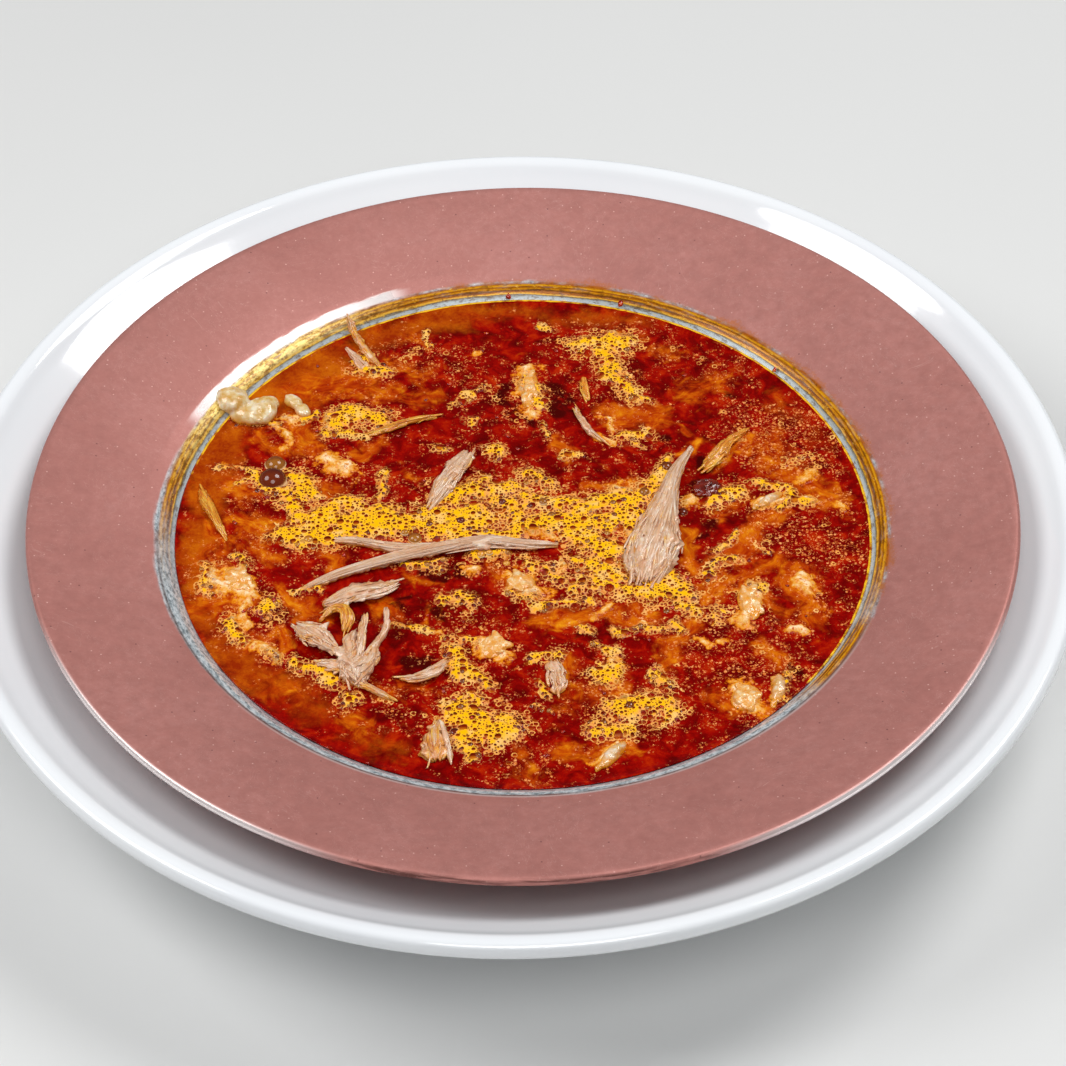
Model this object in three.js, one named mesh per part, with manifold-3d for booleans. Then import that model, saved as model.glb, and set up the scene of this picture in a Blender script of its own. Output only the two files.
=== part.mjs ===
// A bowl of lamb and rice soup: chilli-red broth with shredded lamb, rice and froth
// in a shallow tinned copper dish, which stands in a deep white porcelain plate.
//
// Millimetres, +Z up. The origin is on the table under the middle of the plate.
// +X is to the right and +Y is away from the diner. Food is placed from the middle of
// the copper dish, with its height given above the soup's level.

import * as THREE from 'three';
import { mergeVertices } from 'three/addons/utils/BufferGeometryUtils.js';
import Module from 'manifold-3d';

const wasm = await Module();
wasm.setup();

// ---------------------------------------------------------------- driving dimensions

const SEGMENTS = 48; // facets round the plate and the dish
const GAP = 0.3; // clearance between pieces that touch
const WELD = 1e-4; // vertices closer than this are one
const FAIRING = 0.12; // slivers thinner than this are smoothed out of a cut or joined solid

// Porcelain plate
const PLATE_RADIUS = 125.5;
const PLATE_HEIGHT = 38.7;
const PLATE_WALL = 4.8;
const PLATE_FLOOR_TOP = 6.2;
const PLATE_FLOOR_RADIUS = 66;
const FOOT_INNER = 60;
const FOOT_OUTER = 66;
const FOOT_HEIGHT = 3.2;
const LIP_HEIGHT = 3.6; // the upright edge of the plate

// Copper dish: a spread rim round a rounded well
const DISH_RADIUS = 110;
const DISH_OFFSET = 1.7; // it stands a little to the right in the plate
const DISH_BASE = PLATE_FLOOR_TOP + GAP;
const DISH_EDGE = DISH_BASE + 34;
const SHEET = 1.7;
const EDGE_THICKNESS = 2.2; // the rim ends in a thicker rounded edge
const WELL_RADIUS = 81.4; // where the rim turns down into the well
const WELL_TOP = DISH_EDGE - 6.65;
const WELL_FLOOR = DISH_BASE + SHEET;
const WELL_FLOOR_RADIUS = 48;
const WELL_STEPS = 6; // facets down the wall of the well

// Broth
const SOUP_LEVEL = DISH_EDGE - 10.1;
const SOUP_GRID = 5; // spacing of the surface's height field
const SOUP_BLOCK = 160; // side of the block that the well trims to shape
const FROTH_HEIGHT = 0.8;
const MENISCUS_HEIGHT = 0.5;
const MENISCUS_WIDTH = 3;
const SOUP_RADIUS = 77.2;

// ---------------------------------------------------------------- solids

const toZUp = (geometry) => geometry.rotateX(Math.PI / 2);

/** Six times the signed volume of an indexed mesh: negative when it is inside out. */
function signedVolume(positions, index) {
  const [a, b, c] = [new THREE.Vector3(), new THREE.Vector3(), new THREE.Vector3()];
  let sum = 0;
  for (let i = 0; i < index.length; i += 3) {
    a.fromArray(positions, 3 * index[i]);
    b.fromArray(positions, 3 * index[i + 1]);
    c.fromArray(positions, 3 * index[i + 2]);
    sum += a.dot(b.cross(c));
  }
  return sum;
}

/** A solid for joining and cutting, from any closed three.js geometry. */
function toSolid(geometry) {
  const bare = geometry.clone();
  bare.deleteAttribute('normal');
  bare.deleteAttribute('uv');
  const welded = mergeVertices(bare, WELD);
  const positions = welded.attributes.position.array;
  const faces = [];
  for (let i = 0; i < welded.index.count; i += 3) {
    const [a, b, c] = [0, 1, 2].map((k) => welded.index.getX(i + k));
    if (a !== b && b !== c && c !== a) faces.push(a, b, c);
  }
  if (signedVolume(positions, faces) < 0) faces.reverse();
  return new wasm.Manifold(new wasm.Mesh({
    numProp: 3,
    vertProperties: new Float32Array(positions),
    triVerts: new Uint32Array(faces),
  }));
}

/** The three.js geometry of a solid. */
function toGeometry(solid) {
  const mesh = solid.getMesh();
  const geometry = new THREE.BufferGeometry();
  geometry.setAttribute('position', new THREE.BufferAttribute(mesh.vertProperties, 3));
  geometry.setIndex(new THREE.BufferAttribute(mesh.triVerts, 1));
  geometry.computeVertexNormals();
  return geometry;
}

/** The largest body of a solid, without the scraps and slivers that a cut leaves. */
function largestBody(solid) {
  const bodies = solid.simplify(FAIRING).decompose();
  return bodies.reduce((best, body) => (body.volume() > best.volume() ? body : best));
}

const union = (solids) => solids.reduce((joined, solid) => joined.add(solid));

/** A solid of revolution about Z from a profile of [radius, z] points. */
function turned(profile) {
  const points = profile.map(([radius, z]) => new THREE.Vector2(radius, z));
  return toZUp(new THREE.LatheGeometry(points, SEGMENTS));
}

/** Points [radius, z] on a cubic curve between two profile points. */
function sweep(from, control1, control2, to, count) {
  const curve = new THREE.CubicBezierCurve(
    ...[from, control1, control2, to].map(([radius, z]) => new THREE.Vector2(radius, z)),
  );
  return curve.getPoints(count).map((point) => [point.x, point.y]);
}

// ---------------------------------------------------------------- plate and dish

function plateProfile() {
  const r = PLATE_RADIUS;
  const h = PLATE_HEIGHT;
  const outerWall = sweep(
    [FOOT_OUTER + 1.2, FOOT_HEIGHT + 1.2], [86, 10], [108, 23.6], [r - 1.6, h - LIP_HEIGHT - 1.2], 4);
  const innerWall = sweep(
    [r - PLATE_WALL - 0.4, h - 1.6], [105, 26.4], [87, 13.6],
    [PLATE_FLOOR_RADIUS, PLATE_FLOOR_TOP + 0.25], 5);
  return [
    [0, FOOT_HEIGHT - 0.8],
    [FOOT_INNER - 1, FOOT_HEIGHT - 0.8],
    [FOOT_INNER, 0.5],
    [FOOT_INNER + 0.6, 0],
    [FOOT_OUTER - 0.6, 0],
    [FOOT_OUTER, 0.6],
    ...outerWall,
    [r - 0.2, h - LIP_HEIGHT + 0.5],
    [r, h - 1.9],
    [r - 0.5, h - 0.6],
    [r - 1.7, h],
    [r - 3.4, h - 0.3],
    ...innerWall,
    [PLATE_FLOOR_RADIUS - 6, PLATE_FLOOR_TOP],
    [0, PLATE_FLOOR_TOP],
  ];
}

/** The inside of the well from the rim down to the middle, lifted by a clearance. */
function wellProfile(clearance, floorClearance, count) {
  const wall = sweep(
    [WELL_RADIUS, WELL_TOP], [70, DISH_BASE + 17.8], [64, WELL_FLOOR],
    [WELL_FLOOR_RADIUS, WELL_FLOOR], count);
  return wall.map(([radius, z], i) => {
    const share = i / count;
    return [radius - clearance * (1 - share), z + clearance + (floorClearance - clearance) * share];
  });
}

function dishProfile() {
  const wellWall = wellProfile(0, 0, WELL_STEPS);
  const underside = wellWall.map(([radius, z], i) => {
    const upright = 1 - i / (wellWall.length - 1);
    return [radius + SHEET * 0.7 * upright, z - SHEET * (1 - 0.25 * upright)];
  });
  return [
    [0, DISH_BASE],
    ...underside.reverse(),
    [WELL_RADIUS + 5, WELL_TOP - SHEET + 1],
    [DISH_RADIUS - 3.5, DISH_EDGE - EDGE_THICKNESS - 0.5],
    [DISH_RADIUS - 1.2, DISH_EDGE - EDGE_THICKNESS],
    [DISH_RADIUS - 0.2, DISH_EDGE - EDGE_THICKNESS * 0.7],
    [DISH_RADIUS, DISH_EDGE - EDGE_THICKNESS * 0.4],
    [DISH_RADIUS - 0.6, DISH_EDGE],
    [DISH_RADIUS - 2.2, DISH_EDGE - 0.25],
    [WELL_RADIUS + 3, WELL_TOP + 0.6],
    ...wellWall,
    [0, WELL_FLOOR],
  ];
}

/** The space inside the dish that food may fill: everything GAP above its surface. */
function roomInDish() {
  const ceiling = DISH_EDGE + 40;
  const wall = wellProfile(GAP, GAP, WELL_STEPS);
  return toSolid(turned([
    [0, WELL_FLOOR + GAP],
    ...wall.reverse(),
    [WELL_RADIUS + 3, WELL_TOP + 0.6 + 2 * GAP],
    [DISH_RADIUS, DISH_EDGE + 2 * GAP],
    [DISH_RADIUS, ceiling],
    [0, ceiling],
  ]));
}

// ---------------------------------------------------------------- shreds, lumps, grains

/** Evenly spread values along a piece, read at a share t of its length. */
function valueAt(values, t) {
  const place = t * (values.length - 1);
  const before = Math.min(Math.floor(place), values.length - 2);
  return THREE.MathUtils.lerp(values[before], values[before + 1], place - before);
}

/**
 * A shred of meat: a ball drawn out along a curve, with its poles at the two ends.
 * path lists [x, y, height above the soup], and width and depth are full sizes.
 */
function shred({ path, width, depth, ridges = 0, steps = 8, sides = 6 }, grow = 0) {
  const curve = new THREE.CatmullRomCurve3(
    path.map(([x, y, height]) => new THREE.Vector3(x, y, SOUP_LEVEL + height)));
  const geometry = new THREE.SphereGeometry(1, sides, steps);
  const position = geometry.attributes.position;
  const up = new THREE.Vector3(0, 0, 1);
  const point = new THREE.Vector3();
  for (let i = 0; i < position.count; i++) {
    point.fromBufferAttribute(position, i);
    const t = THREE.MathUtils.clamp(Math.acos(THREE.MathUtils.clamp(point.y, -1, 1)) / Math.PI, 0, 1);
    const roundEnd = Math.min(1, 2.2 * Math.sin(Math.PI * t));
    const around = Math.atan2(point.z, point.x);
    const ridge = 1 + (ridges ? 0.1 * Math.cos(ridges * around) : 0);
    const along = curve.getTangent(t);
    const side = new THREE.Vector3().crossVectors(along, up).normalize();
    const over = new THREE.Vector3().crossVectors(side, along);
    const halfWidth = (valueAt(width, t) / 2) * ridge + grow;
    const halfDepth = (valueAt(depth, t) / 2) * ridge + grow;
    point.copy(curve.getPoint(t))
      .addScaledVector(side, halfWidth * roundEnd * Math.cos(around))
      .addScaledVector(over, halfDepth * roundEnd * Math.sin(around))
      .addScaledVector(along, grow * (2 * t - 1));
    position.setXYZ(i, point.x, point.y, point.z);
  }
  return toSolid(geometry);
}

/** A soft lump: a ball with radii [along, across, up], uneven by a few smooth waves. */
function lump({ at: [x, y, height], radii, turn = 0, wobble = 0.12, phase = 0, detail = 1 }, grow = 0) {
  const geometry = new THREE.IcosahedronGeometry(1, detail);
  const position = geometry.attributes.position;
  const point = new THREE.Vector3();
  for (let i = 0; i < position.count; i++) {
    point.fromBufferAttribute(position, i);
    const wave = Math.sin(3.1 * point.x + phase) * Math.sin(2.7 * point.y + 2 * phase)
      + 0.6 * Math.sin(4.3 * point.z + 3 * phase) * Math.cos(3.7 * point.x - phase);
    const swell = 1 + wobble * wave;
    position.setXYZ(
      i,
      point.x * (radii[0] * swell + grow),
      point.y * (radii[1] * swell + grow),
      point.z * (radii[2] * swell + grow));
  }
  geometry.rotateZ(THREE.MathUtils.degToRad(turn));
  geometry.translate(x, y, SOUP_LEVEL + height);
  return toSolid(geometry);
}

/** One cooked grain of rice, lying at a turn about Z and tilted up by a little. */
function grain({ at: [x, y, height], length, width, turn = 0, tilt = 0 }, grow = 0) {
  const geometry = new THREE.SphereGeometry(1, 6, 4);
  geometry.rotateZ(Math.PI / 2);
  geometry.scale(length / 2 + grow, width / 2 + grow, width * 0.46 + grow);
  geometry.rotateY(-THREE.MathUtils.degToRad(tilt));
  geometry.rotateZ(THREE.MathUtils.degToRad(turn));
  geometry.translate(x, y, SOUP_LEVEL + height);
  return toSolid(geometry);
}

/**
 * A clump of swollen rice: grains fused round a soft core, by a fixed turning rule.
 * They keep near the clump's long way, inside the rounded outline that clumpOutline gives.
 */
function riceClump({ at: [x, y, height], radii, turn = 0, grains = 4, phase = 0 }) {
  const [long, short, tall] = radii;
  const heading = THREE.MathUtils.degToRad(turn);
  const core = lump({
    at: [x, y, height - 0.2], radii: [long * 0.78, short * 0.8, tall * 0.9], turn, phase,
  });
  const length = Math.min(6.6, long * 1.05);
  const width = Math.min(2.9, short * 0.8);
  const laid = Array.from({ length: grains }, (_, i) => {
    const place = grains === 1 ? 0 : (2 * i) / (grains - 1) - 1;
    const along = place * (long - length / 2);
    const across = (short - width / 2) * 0.8 * Math.cos(Math.PI * i + phase);
    return grain({
      at: [
        x + along * Math.cos(heading) - across * Math.sin(heading),
        y + along * Math.sin(heading) + across * Math.cos(heading),
        height + tall * (0.5 - 0.2 * Math.abs(place)),
      ],
      length,
      width,
      turn: turn + 32 * Math.sin(phase * 3 + i * 2.1),
    });
  });
  return union([core, ...laid]);
}

/** The rounded outline that a rice clump keeps inside, grown by a clearance. */
function clumpOutline({ at: [x, y, height], radii: [long, short, tall], turn = 0 }, grow) {
  return lump({ at: [x, y, height + 0.2], radii: [long * 1.25, short * 1.35, tall * 1.35], turn, wobble: 0 }, grow);
}

/** A piece: its solid, and the pocket that it needs in what lies round it. */
const single = (make, sizes, outline = make) => ({
  solid: () => make(sizes),
  pocket: () => outline(sizes, GAP),
});

/** Several forms fused to one piece. */
const fused = (...forms) => ({
  solid: () => union(forms.map(([make, sizes]) => make(sizes))),
  pocket: () => union(forms.map(([make, sizes]) => make(sizes, GAP))),
});

const clump = (sizes) => single(riceClump, sizes, clumpOutline);

// ---------------------------------------------------------------- the food, piece by piece

const LAMB = {
  lamb_long_strand: fused(
    [shred, {
      path: [[-50, -19.6, 0], [-41, -15, 0.6], [-30, -11, 1], [-18, -7.7, 1.3], [-8, -6, 1.3],
        [0, -6.8, 1], [6, -6.2, 0.2]],
      width: [1.3, 2.4, 2.6, 3.2, 3.4, 2.6, 1.4],
      depth: [1.2, 2, 2.2, 2.4, 2.4, 2, 1.2],
      steps: 14,
    }],
    [shred, {
      path: [[-42, -3.8, 0.1], [-36, -4.7, 0.5], [-29, -7, 0.8], [-21, -7.4, 1], [-14, -6.6, 1.1]],
      width: [1.4, 2, 2.4, 2.2, 1.8],
      depth: [1.2, 1.8, 2, 2, 1.6],
    }],
  ),
  lamb_wedge: single(shred, {
    path: [[38, 20.8, 2.6], [35, 15, 2.3], [32.8, 8, 1.9], [31, 0.5, 1.6], [29.2, -7, 1.4],
      [27.4, -13.5, 1], [26, -18.6, 0.4]],
    width: [1, 2.6, 4.2, 8, 11.6, 10.4, 6],
    depth: [1.2, 2.4, 3.2, 4, 4.2, 3.4, 2],
    ridges: 7,
    steps: 12,
    sides: 12,
  }),
  lamb_right_strand: single(shred, {
    path: [[52, 30.5, 0.2], [47.5, 25.6, 0.9], [44.4, 20.8, 1.1], [41.4, 17.6, 0.4]],
    width: [1.2, 2.4, 3.4, 2],
    depth: [1, 1.8, 2, 1.4],
  }),
  lamb_flat_strip: single(shred, {
    path: [[-44, -24.4, 0.3], [-38.5, -22, 1.1], [-32.4, -20.3, 1.3], [-27.8, -18, 0.9]],
    width: [2.4, 4.6, 4.6, 1.6],
    depth: [1.2, 1.8, 1.8, 1.2],
    ridges: 5,
    sides: 8,
  }),
  lamb_leaf: single(shred, {
    path: [[-49.3, -30.8, 1.2], [-45.6, -34.4, 2.3], [-41, -38.6, 1.6]],
    width: [2.6, 6.4, 3.4],
    depth: [1.2, 2, 1.6],
    ridges: 5,
    sides: 8,
  }),
  lamb_curl: single(shred, {
    path: [[-44.8, -28.8, 0.2], [-42, -26.4, 1.5], [-39.6, -27.1, 2.3], [-38.4, -29.8, 2.2],
      [-38.9, -32.8, 1]],
    width: [0.9, 1.6, 2.4, 2.8, 1.6],
    depth: [0.8, 1.2, 1.4, 1.4, 1],
  }),
  lamb_knot: fused(
    [lump, { at: [-36.6, -43, 0.4], radii: [3.6, 4.8, 2.4], turn: 10, phase: 0.7 }],
    [shred, {
      path: [[-36.6, -33, 1], [-37.8, -37, 1.8], [-37.2, -42.6, 1.9]],
      width: [2.2, 3.2, 3], depth: [1.2, 1.8, 1.8],
    }],
    [shred, {
      path: [[-34.5, -30.8, 4.2], [-35, -35.4, 3], [-35.8, -41, 1.8]],
      width: [1.2, 1.8, 2], depth: [1, 1.6, 1.6],
    }],
    [shred, {
      path: [[-30, -28, 3.6], [-29.9, -33, 3], [-32, -37.6, 2.2], [-34.4, -41.4, 1.8]],
      width: [0.9, 1.6, 1.8, 1.8], depth: [0.8, 1.4, 1.6, 1.6],
    }],
    [shred, {
      path: [[-32.6, -38, 2], [-33, -43, 2.3], [-36.4, -47.4, 1]],
      width: [1.6, 2.8, 2.2], depth: [1.2, 2, 1.6],
    }],
    [shred, {
      path: [[-45, -41.2, 0.4], [-41.6, -42.6, 1.1], [-37.6, -44.2, 1.2]],
      width: [1.6, 3, 2.8], depth: [1, 1.6, 1.6],
    }],
    [shred, {
      path: [[-36.4, -46.8, 0.6], [-33, -49.2, 0.7], [-28.2, -52, 0.1]],
      width: [1.8, 1.6, 1.2], depth: [1.4, 1.2, 0.8],
    }],
  ),
  lamb_slab: single(shred, {
    path: [[-12, 24.2, 0.6], [-14.8, 18.6, 1.1], [-18, 12.6, 1], [-20.8, 6.5, 0.2]],
    width: [2.8, 4.8, 4.4, 2], depth: [1.2, 2, 2, 1.2],
    ridges: 5,
    sides: 8,
  }),
  lamb_crescent: single(shred, {
    path: [[-16.8, -41, 0.2], [-19.2, -44.3, 0.8], [-22.8, -46.6, 0.9], [-27, -46, 0.2]],
    width: [1.4, 2.8, 2.4, 1], depth: [1, 1.4, 1.4, 0.8],
  }),
  lamb_triangle: fused(
    [shred, {
      path: [[-18.6, -58, 0.2], [-19, -63.4, 0.8], [-18.4, -69.8, 0.2]],
      width: [1.4, 5, 6.4], depth: [1, 1.4, 1.2],
    }],
    [shred, {
      path: [[-18.2, -58.6, 0.8], [-16.8, -64, 1.3], [-15.6, -70.2, 0.3]],
      width: [0.9, 1.3, 1], depth: [0.9, 1.2, 0.9],
    }],
  ),
  lamb_small_slab: single(shred, {
    path: [[6.2, -41.4, 0.2], [6.8, -46, 0.8], [7.1, -51.2, 0.2]],
    width: [3.4, 4.6, 2.8], depth: [1.2, 1.6, 1.2],
    ridges: 5,
    sides: 8,
  }),
  lamb_wall_strand: single(shred, {
    path: [[-40.9, 68.6, 3.6], [-39.8, 66, 1.7], [-38.2, 62.4, 1], [-36.2, 58.4, 0.7], [-34, 55.4, 0]],
    width: [1.2, 1.8, 1.8, 1.8, 1.2], depth: [1, 1.2, 1.2, 1.2, 1],
  }),
  lamb_spike: single(shred, {
    path: [[-41.6, 59.4, 2.2], [-39.2, 56.6, 1.3], [-36.4, 53.6, 0.1]],
    width: [0.8, 2.2, 2.8], depth: [0.7, 1.2, 1.2],
  }),
  lamb_left_strand: single(shred, {
    path: [[-73.2, 13.4, 0.1], [-71.4, 8, 0.5], [-69, 2.6, 0.5], [-66.8, -1.6, 0]],
    width: [1.6, 2.4, 1.8, 1], depth: [1, 1.4, 1.2, 0.8],
  }),
  lamb_middle_strand: single(shred, {
    path: [[-36, 30.8, 0], [-30.5, 32.8, 0.5], [-25, 35.2, 0.6], [-19.8, 36.8, 0.1]],
    width: [1.2, 1.9, 1.8, 1], depth: [0.9, 1.3, 1.2, 0.8],
  }),
  lamb_thin_strand: single(shred, {
    path: [[12.4, 39.4, 0.1], [14, 34.4, 0.8], [15.8, 30.4, 0.9], [19.2, 27.2, 0.1]],
    width: [1, 1.4, 2, 1], depth: [0.9, 1.2, 1.3, 0.8],
  }),
  lamb_back_strip: single(shred, {
    path: [[14.6, 50, 0.1], [14.9, 46, 0.6], [15.7, 41.6, 0.1]],
    width: [1, 2.2, 1.2], depth: [0.8, 1.2, 0.8],
  }),
};

const FAT = {
  fat_over_wall: fused(
    [lump, { at: [-67.4, 41, 2.6], radii: [4, 3.6, 2.5], turn: 120, phase: 0.4 }],
    [lump, { at: [-60.6, 38.6, 1.1], radii: [4.6, 3.8, 2.4], turn: 70, phase: 1.9 }],
    [lump, { at: [-64, 37.8, 0.9], radii: [4.4, 3, 2], turn: 150, phase: 2.6 }],
  ),
  fat_drop: single(lump, { at: [-52.2, 40.6, 0.8], radii: [4.1, 1.9, 1.6], turn: -46, phase: 1.1 }),
};

const RICE = {
  rice_clump_right: clump({ at: [49.2, -25, 0.3], radii: [6.2, 3, 1.9], turn: 98, grains: 5, phase: 0.3 }),
  rice_clump_corner: clump({ at: [46.8, -53, 0.2], radii: [4.6, 3.8, 2], turn: 60, phase: 1.4 }),
  rice_clump_centre: clump({ at: [-0.4, -17.8, 0.3], radii: [4, 3.2, 1.9], turn: -40, phase: 2.2 }),
  rice_clump_front: clump({ at: [-6.8, -37, 0.3], radii: [4.2, 3.4, 1.9], turn: 70, phase: 0.9 }),
  rice_clump_back: clump({ at: [2, 45.4, 0.2], radii: [7.6, 2.4, 1.6], turn: 84, grains: 4, phase: 1.7 }),
  rice_clump_left: clump({ at: [-62.6, -15.6, 0.2], radii: [6, 3, 1.6], turn: -52, phase: 2.9 }),
  rice_grain_right: single(grain, { at: [55.8, 7.2, 0.5], length: 7.4, width: 3.2, turn: 38 }),
  rice_grain_front: single(grain, { at: [18, -68.6, 0.5], length: 9, width: 3.2, turn: 52 }),
  rice_grain_edge: single(grain, { at: [53.8, -50.6, 0.6], length: 9, width: 3.2, turn: 80 }),
};

const CHILLI = {
  chilli_clump: single(lump, {
    at: [41.6, 11.2, 0.5], radii: [3.2, 2.8, 1.6], turn: 30, phase: 2.2, wobble: 0.2,
  }),
};

const FOOD_KINDS = [
  { pieces: LAMB, color: 0xbfa08c, roughness: 0.35 },
  { pieces: FAT, color: 0xd9cfb4, roughness: 0.2 },
  { pieces: RICE, color: 0xe8d29a, roughness: 0.35 },
  { pieces: CHILLI, color: 0x3a0a06, roughness: 0.2 },
];

// ---------------------------------------------------------------- broth

/** Patches of froth: [x, y] at both ends of a stroke, and its radius. */
const FROTH = [
  { from: [-52, -3], to: [-22, 1], radius: 5 },
  { from: [-20, 3], to: [-3, 9], radius: 5.5 },
  { from: [-6, 2], to: [22, 4], radius: 7 },
  { from: [12, -6], to: [17, -11], radius: 7 },
  { from: [12, -19], to: [34, -23], radius: 5.5 },
  { from: [17, 62], to: [22, 62], radius: 5.5 },
  { from: [21, 55], to: [27, 43], radius: 4.5 },
  { from: [23, 29], to: [27, 30], radius: 3.5 },
  { from: [-42, 36], to: [-36, 37], radius: 5 },
  { from: [-37, 53], to: [-30, 51], radius: 2.8 },
  { from: [-54, 19], to: [-50, 7], radius: 5 },
  { from: [-46, 22], to: [-42, 20], radius: 4 },
  { from: [-12, -40], to: [-9, -47], radius: 4.5 },
  { from: [-11, -58], to: [-9, -64], radius: 6 },
  { from: [20, -58], to: [27, -54], radius: 6 },
  { from: [44, 5], to: [48, 9], radius: 3.5 },
  { from: [62, 8], to: [65, 6], radius: 3 },
  { from: [3, 17], to: [4, 13], radius: 3.5 },
  { from: [-46, -43], to: [-40, -46], radius: 2.8 },
  { from: [43, -14], to: [47, -11], radius: 3 },
];

/** Bubbles that stand on the surface: [x, y] and radius. */
const BUBBLES = [
  { at: [-57, 16.2], radius: 3.3 },
  { at: [-56.6, 21.6], radius: 2.4 },
  { at: [33, 18.6], radius: 1.4 },
  { at: [27.6, 10], radius: 1.3 },
  { at: [-24.2, -3], radius: 1.5 },
  { at: [-55, -25], radius: 2.4 },
];

/** Small clumps of rice that only just break the surface: [x, y], radius and height. */
const SMALL_CLUMPS = [
  { at: [-62, -27], radius: 4, height: 1.3 },
  { at: [-55.4, -37], radius: 4, height: 1.3 },
  { at: [62.2, -18], radius: 3.6, height: 1.2 },
  { at: [18, -43.6], radius: 4.5, height: 1.2 },
  { at: [58, -35], radius: 3, height: 1 },
  { at: [39, -37], radius: 3.6, height: 0.8 },
];

/** Distance from a point to the stroke of a froth patch. */
function strokeDistance(x, y, { from, to }) {
  const line = new THREE.Line3(new THREE.Vector3(...from, 0), new THREE.Vector3(...to, 0));
  const point = new THREE.Vector3(x, y, 0);
  return line.closestPointToPoint(point, true, new THREE.Vector3()).distanceTo(point);
}

/** Height of the broth's surface above its level: froth, and the meniscus at the wall. */
function surfaceHeight(x, y) {
  const froth = FROTH.map((patch) => {
    const inside = 1 - THREE.MathUtils.smoothstep(strokeDistance(x, y, patch), 0.6 * patch.radius, 1.3 * patch.radius);
    return FROTH_HEIGHT * inside;
  });
  const clumps = SMALL_CLUMPS.map(({ at, radius, height }) => (
    height * (1 - THREE.MathUtils.smoothstep(Math.hypot(x - at[0], y - at[1]), 0.2 * radius, 1.1 * radius))));
  const climb = THREE.MathUtils.smoothstep(Math.hypot(x, y), SOUP_RADIUS - MENISCUS_WIDTH, SOUP_RADIUS);
  return Math.max(...froth, ...clumps) + MENISCUS_HEIGHT * climb;
}

/** The broth up to its level, filling the well and cut round what sits in it. */
function makeBroth(room, pockets) {
  const cells = Math.round(SOUP_BLOCK / SOUP_GRID);
  const block = new THREE.BoxGeometry(SOUP_BLOCK, SOUP_BLOCK, SOUP_LEVEL, cells, cells, 1);
  block.translate(0, 0, SOUP_LEVEL / 2);
  const position = block.attributes.position;
  for (let i = 0; i < position.count; i++) {
    const isTop = position.getZ(i) > SOUP_LEVEL - WELD;
    if (isTop) {
      position.setZ(i, SOUP_LEVEL + surfaceHeight(position.getX(i), position.getY(i)));
    }
  }
  const bubbles = BUBBLES.map(({ at: [x, y], radius }) => (
    lump({ at: [x, y, 0.2], radii: [radius, radius, radius * 0.8], wobble: 0, detail: 2 })));
  const filled = toSolid(block).add(union(bubbles)).intersect(room);
  return largestBody(filled.subtract(union(pockets)));
}

// ---------------------------------------------------------------- assembly

function addMesh(parent, name, geometry, color, roughness, metalness = 0) {
  const mesh = new THREE.Mesh(geometry, new THREE.MeshStandardMaterial({ color, roughness, metalness }));
  mesh.name = name;
  parent.add(mesh);
}

/** Every piece trimmed to the dish and to the pieces before it, and its pocket. */
function fitFood(room) {
  const placed = [];
  for (const { pieces, color, roughness } of FOOD_KINDS) {
    for (const [name, piece] of Object.entries(pieces)) {
      const trimmed = placed.reduce((solid, other) => solid.subtract(other.pocket), piece.solid().intersect(room));
      placed.push({ name, color, roughness, solid: largestBody(trimmed), pocket: piece.pocket() });
    }
  }
  return placed;
}

const room = roomInDish();
const food = fitFood(room);

const soup = new THREE.Group();
addMesh(soup, 'underplate', turned(plateProfile()), 0xf2f4f6, 0.12);

const dish = new THREE.Group();
dish.position.x = DISH_OFFSET;
soup.add(dish);
addMesh(dish, 'copper_dish', turned(dishProfile()), 0xb07068, 0.5, 0.9);
addMesh(dish, 'broth', toGeometry(makeBroth(room, food.map((piece) => piece.pocket))), 0x9c2a0a, 0.1);
for (const { name, solid, color, roughness } of food) {
  addMesh(dish, name, toGeometry(solid), color, roughness);
}

export default soup;
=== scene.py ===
"""Looks of a bowl of lamb and rice soup: chilli-red broth with froth, shredded lamb and rice,
in a shallow tinned copper dish that stands in a deep white porcelain plate.

Food is laid out in millimetres from the middle of the copper dish, with heights above the
soup's level; add_piece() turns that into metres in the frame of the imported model.
"""

import math
from collections import namedtuple
from functools import partialmethod
from itertools import product

import bpy
import numpy as np
from mathutils import Matrix, Vector


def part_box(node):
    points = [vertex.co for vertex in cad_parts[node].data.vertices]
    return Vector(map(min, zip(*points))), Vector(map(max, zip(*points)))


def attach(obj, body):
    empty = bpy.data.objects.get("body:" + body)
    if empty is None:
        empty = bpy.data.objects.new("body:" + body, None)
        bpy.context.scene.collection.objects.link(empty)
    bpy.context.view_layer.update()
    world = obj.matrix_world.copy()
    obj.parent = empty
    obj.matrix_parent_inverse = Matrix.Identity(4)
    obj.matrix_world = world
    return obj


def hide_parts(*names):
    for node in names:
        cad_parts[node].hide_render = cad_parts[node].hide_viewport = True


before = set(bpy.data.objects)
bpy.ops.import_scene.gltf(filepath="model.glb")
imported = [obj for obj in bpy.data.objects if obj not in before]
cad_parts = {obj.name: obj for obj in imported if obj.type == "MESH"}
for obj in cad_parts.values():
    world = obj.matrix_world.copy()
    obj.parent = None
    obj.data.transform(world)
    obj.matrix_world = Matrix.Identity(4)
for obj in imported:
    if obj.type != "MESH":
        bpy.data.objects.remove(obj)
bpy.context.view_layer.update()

MM = 0.001

# ------------------------------------------------------------------ sizes, from the frame

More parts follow.
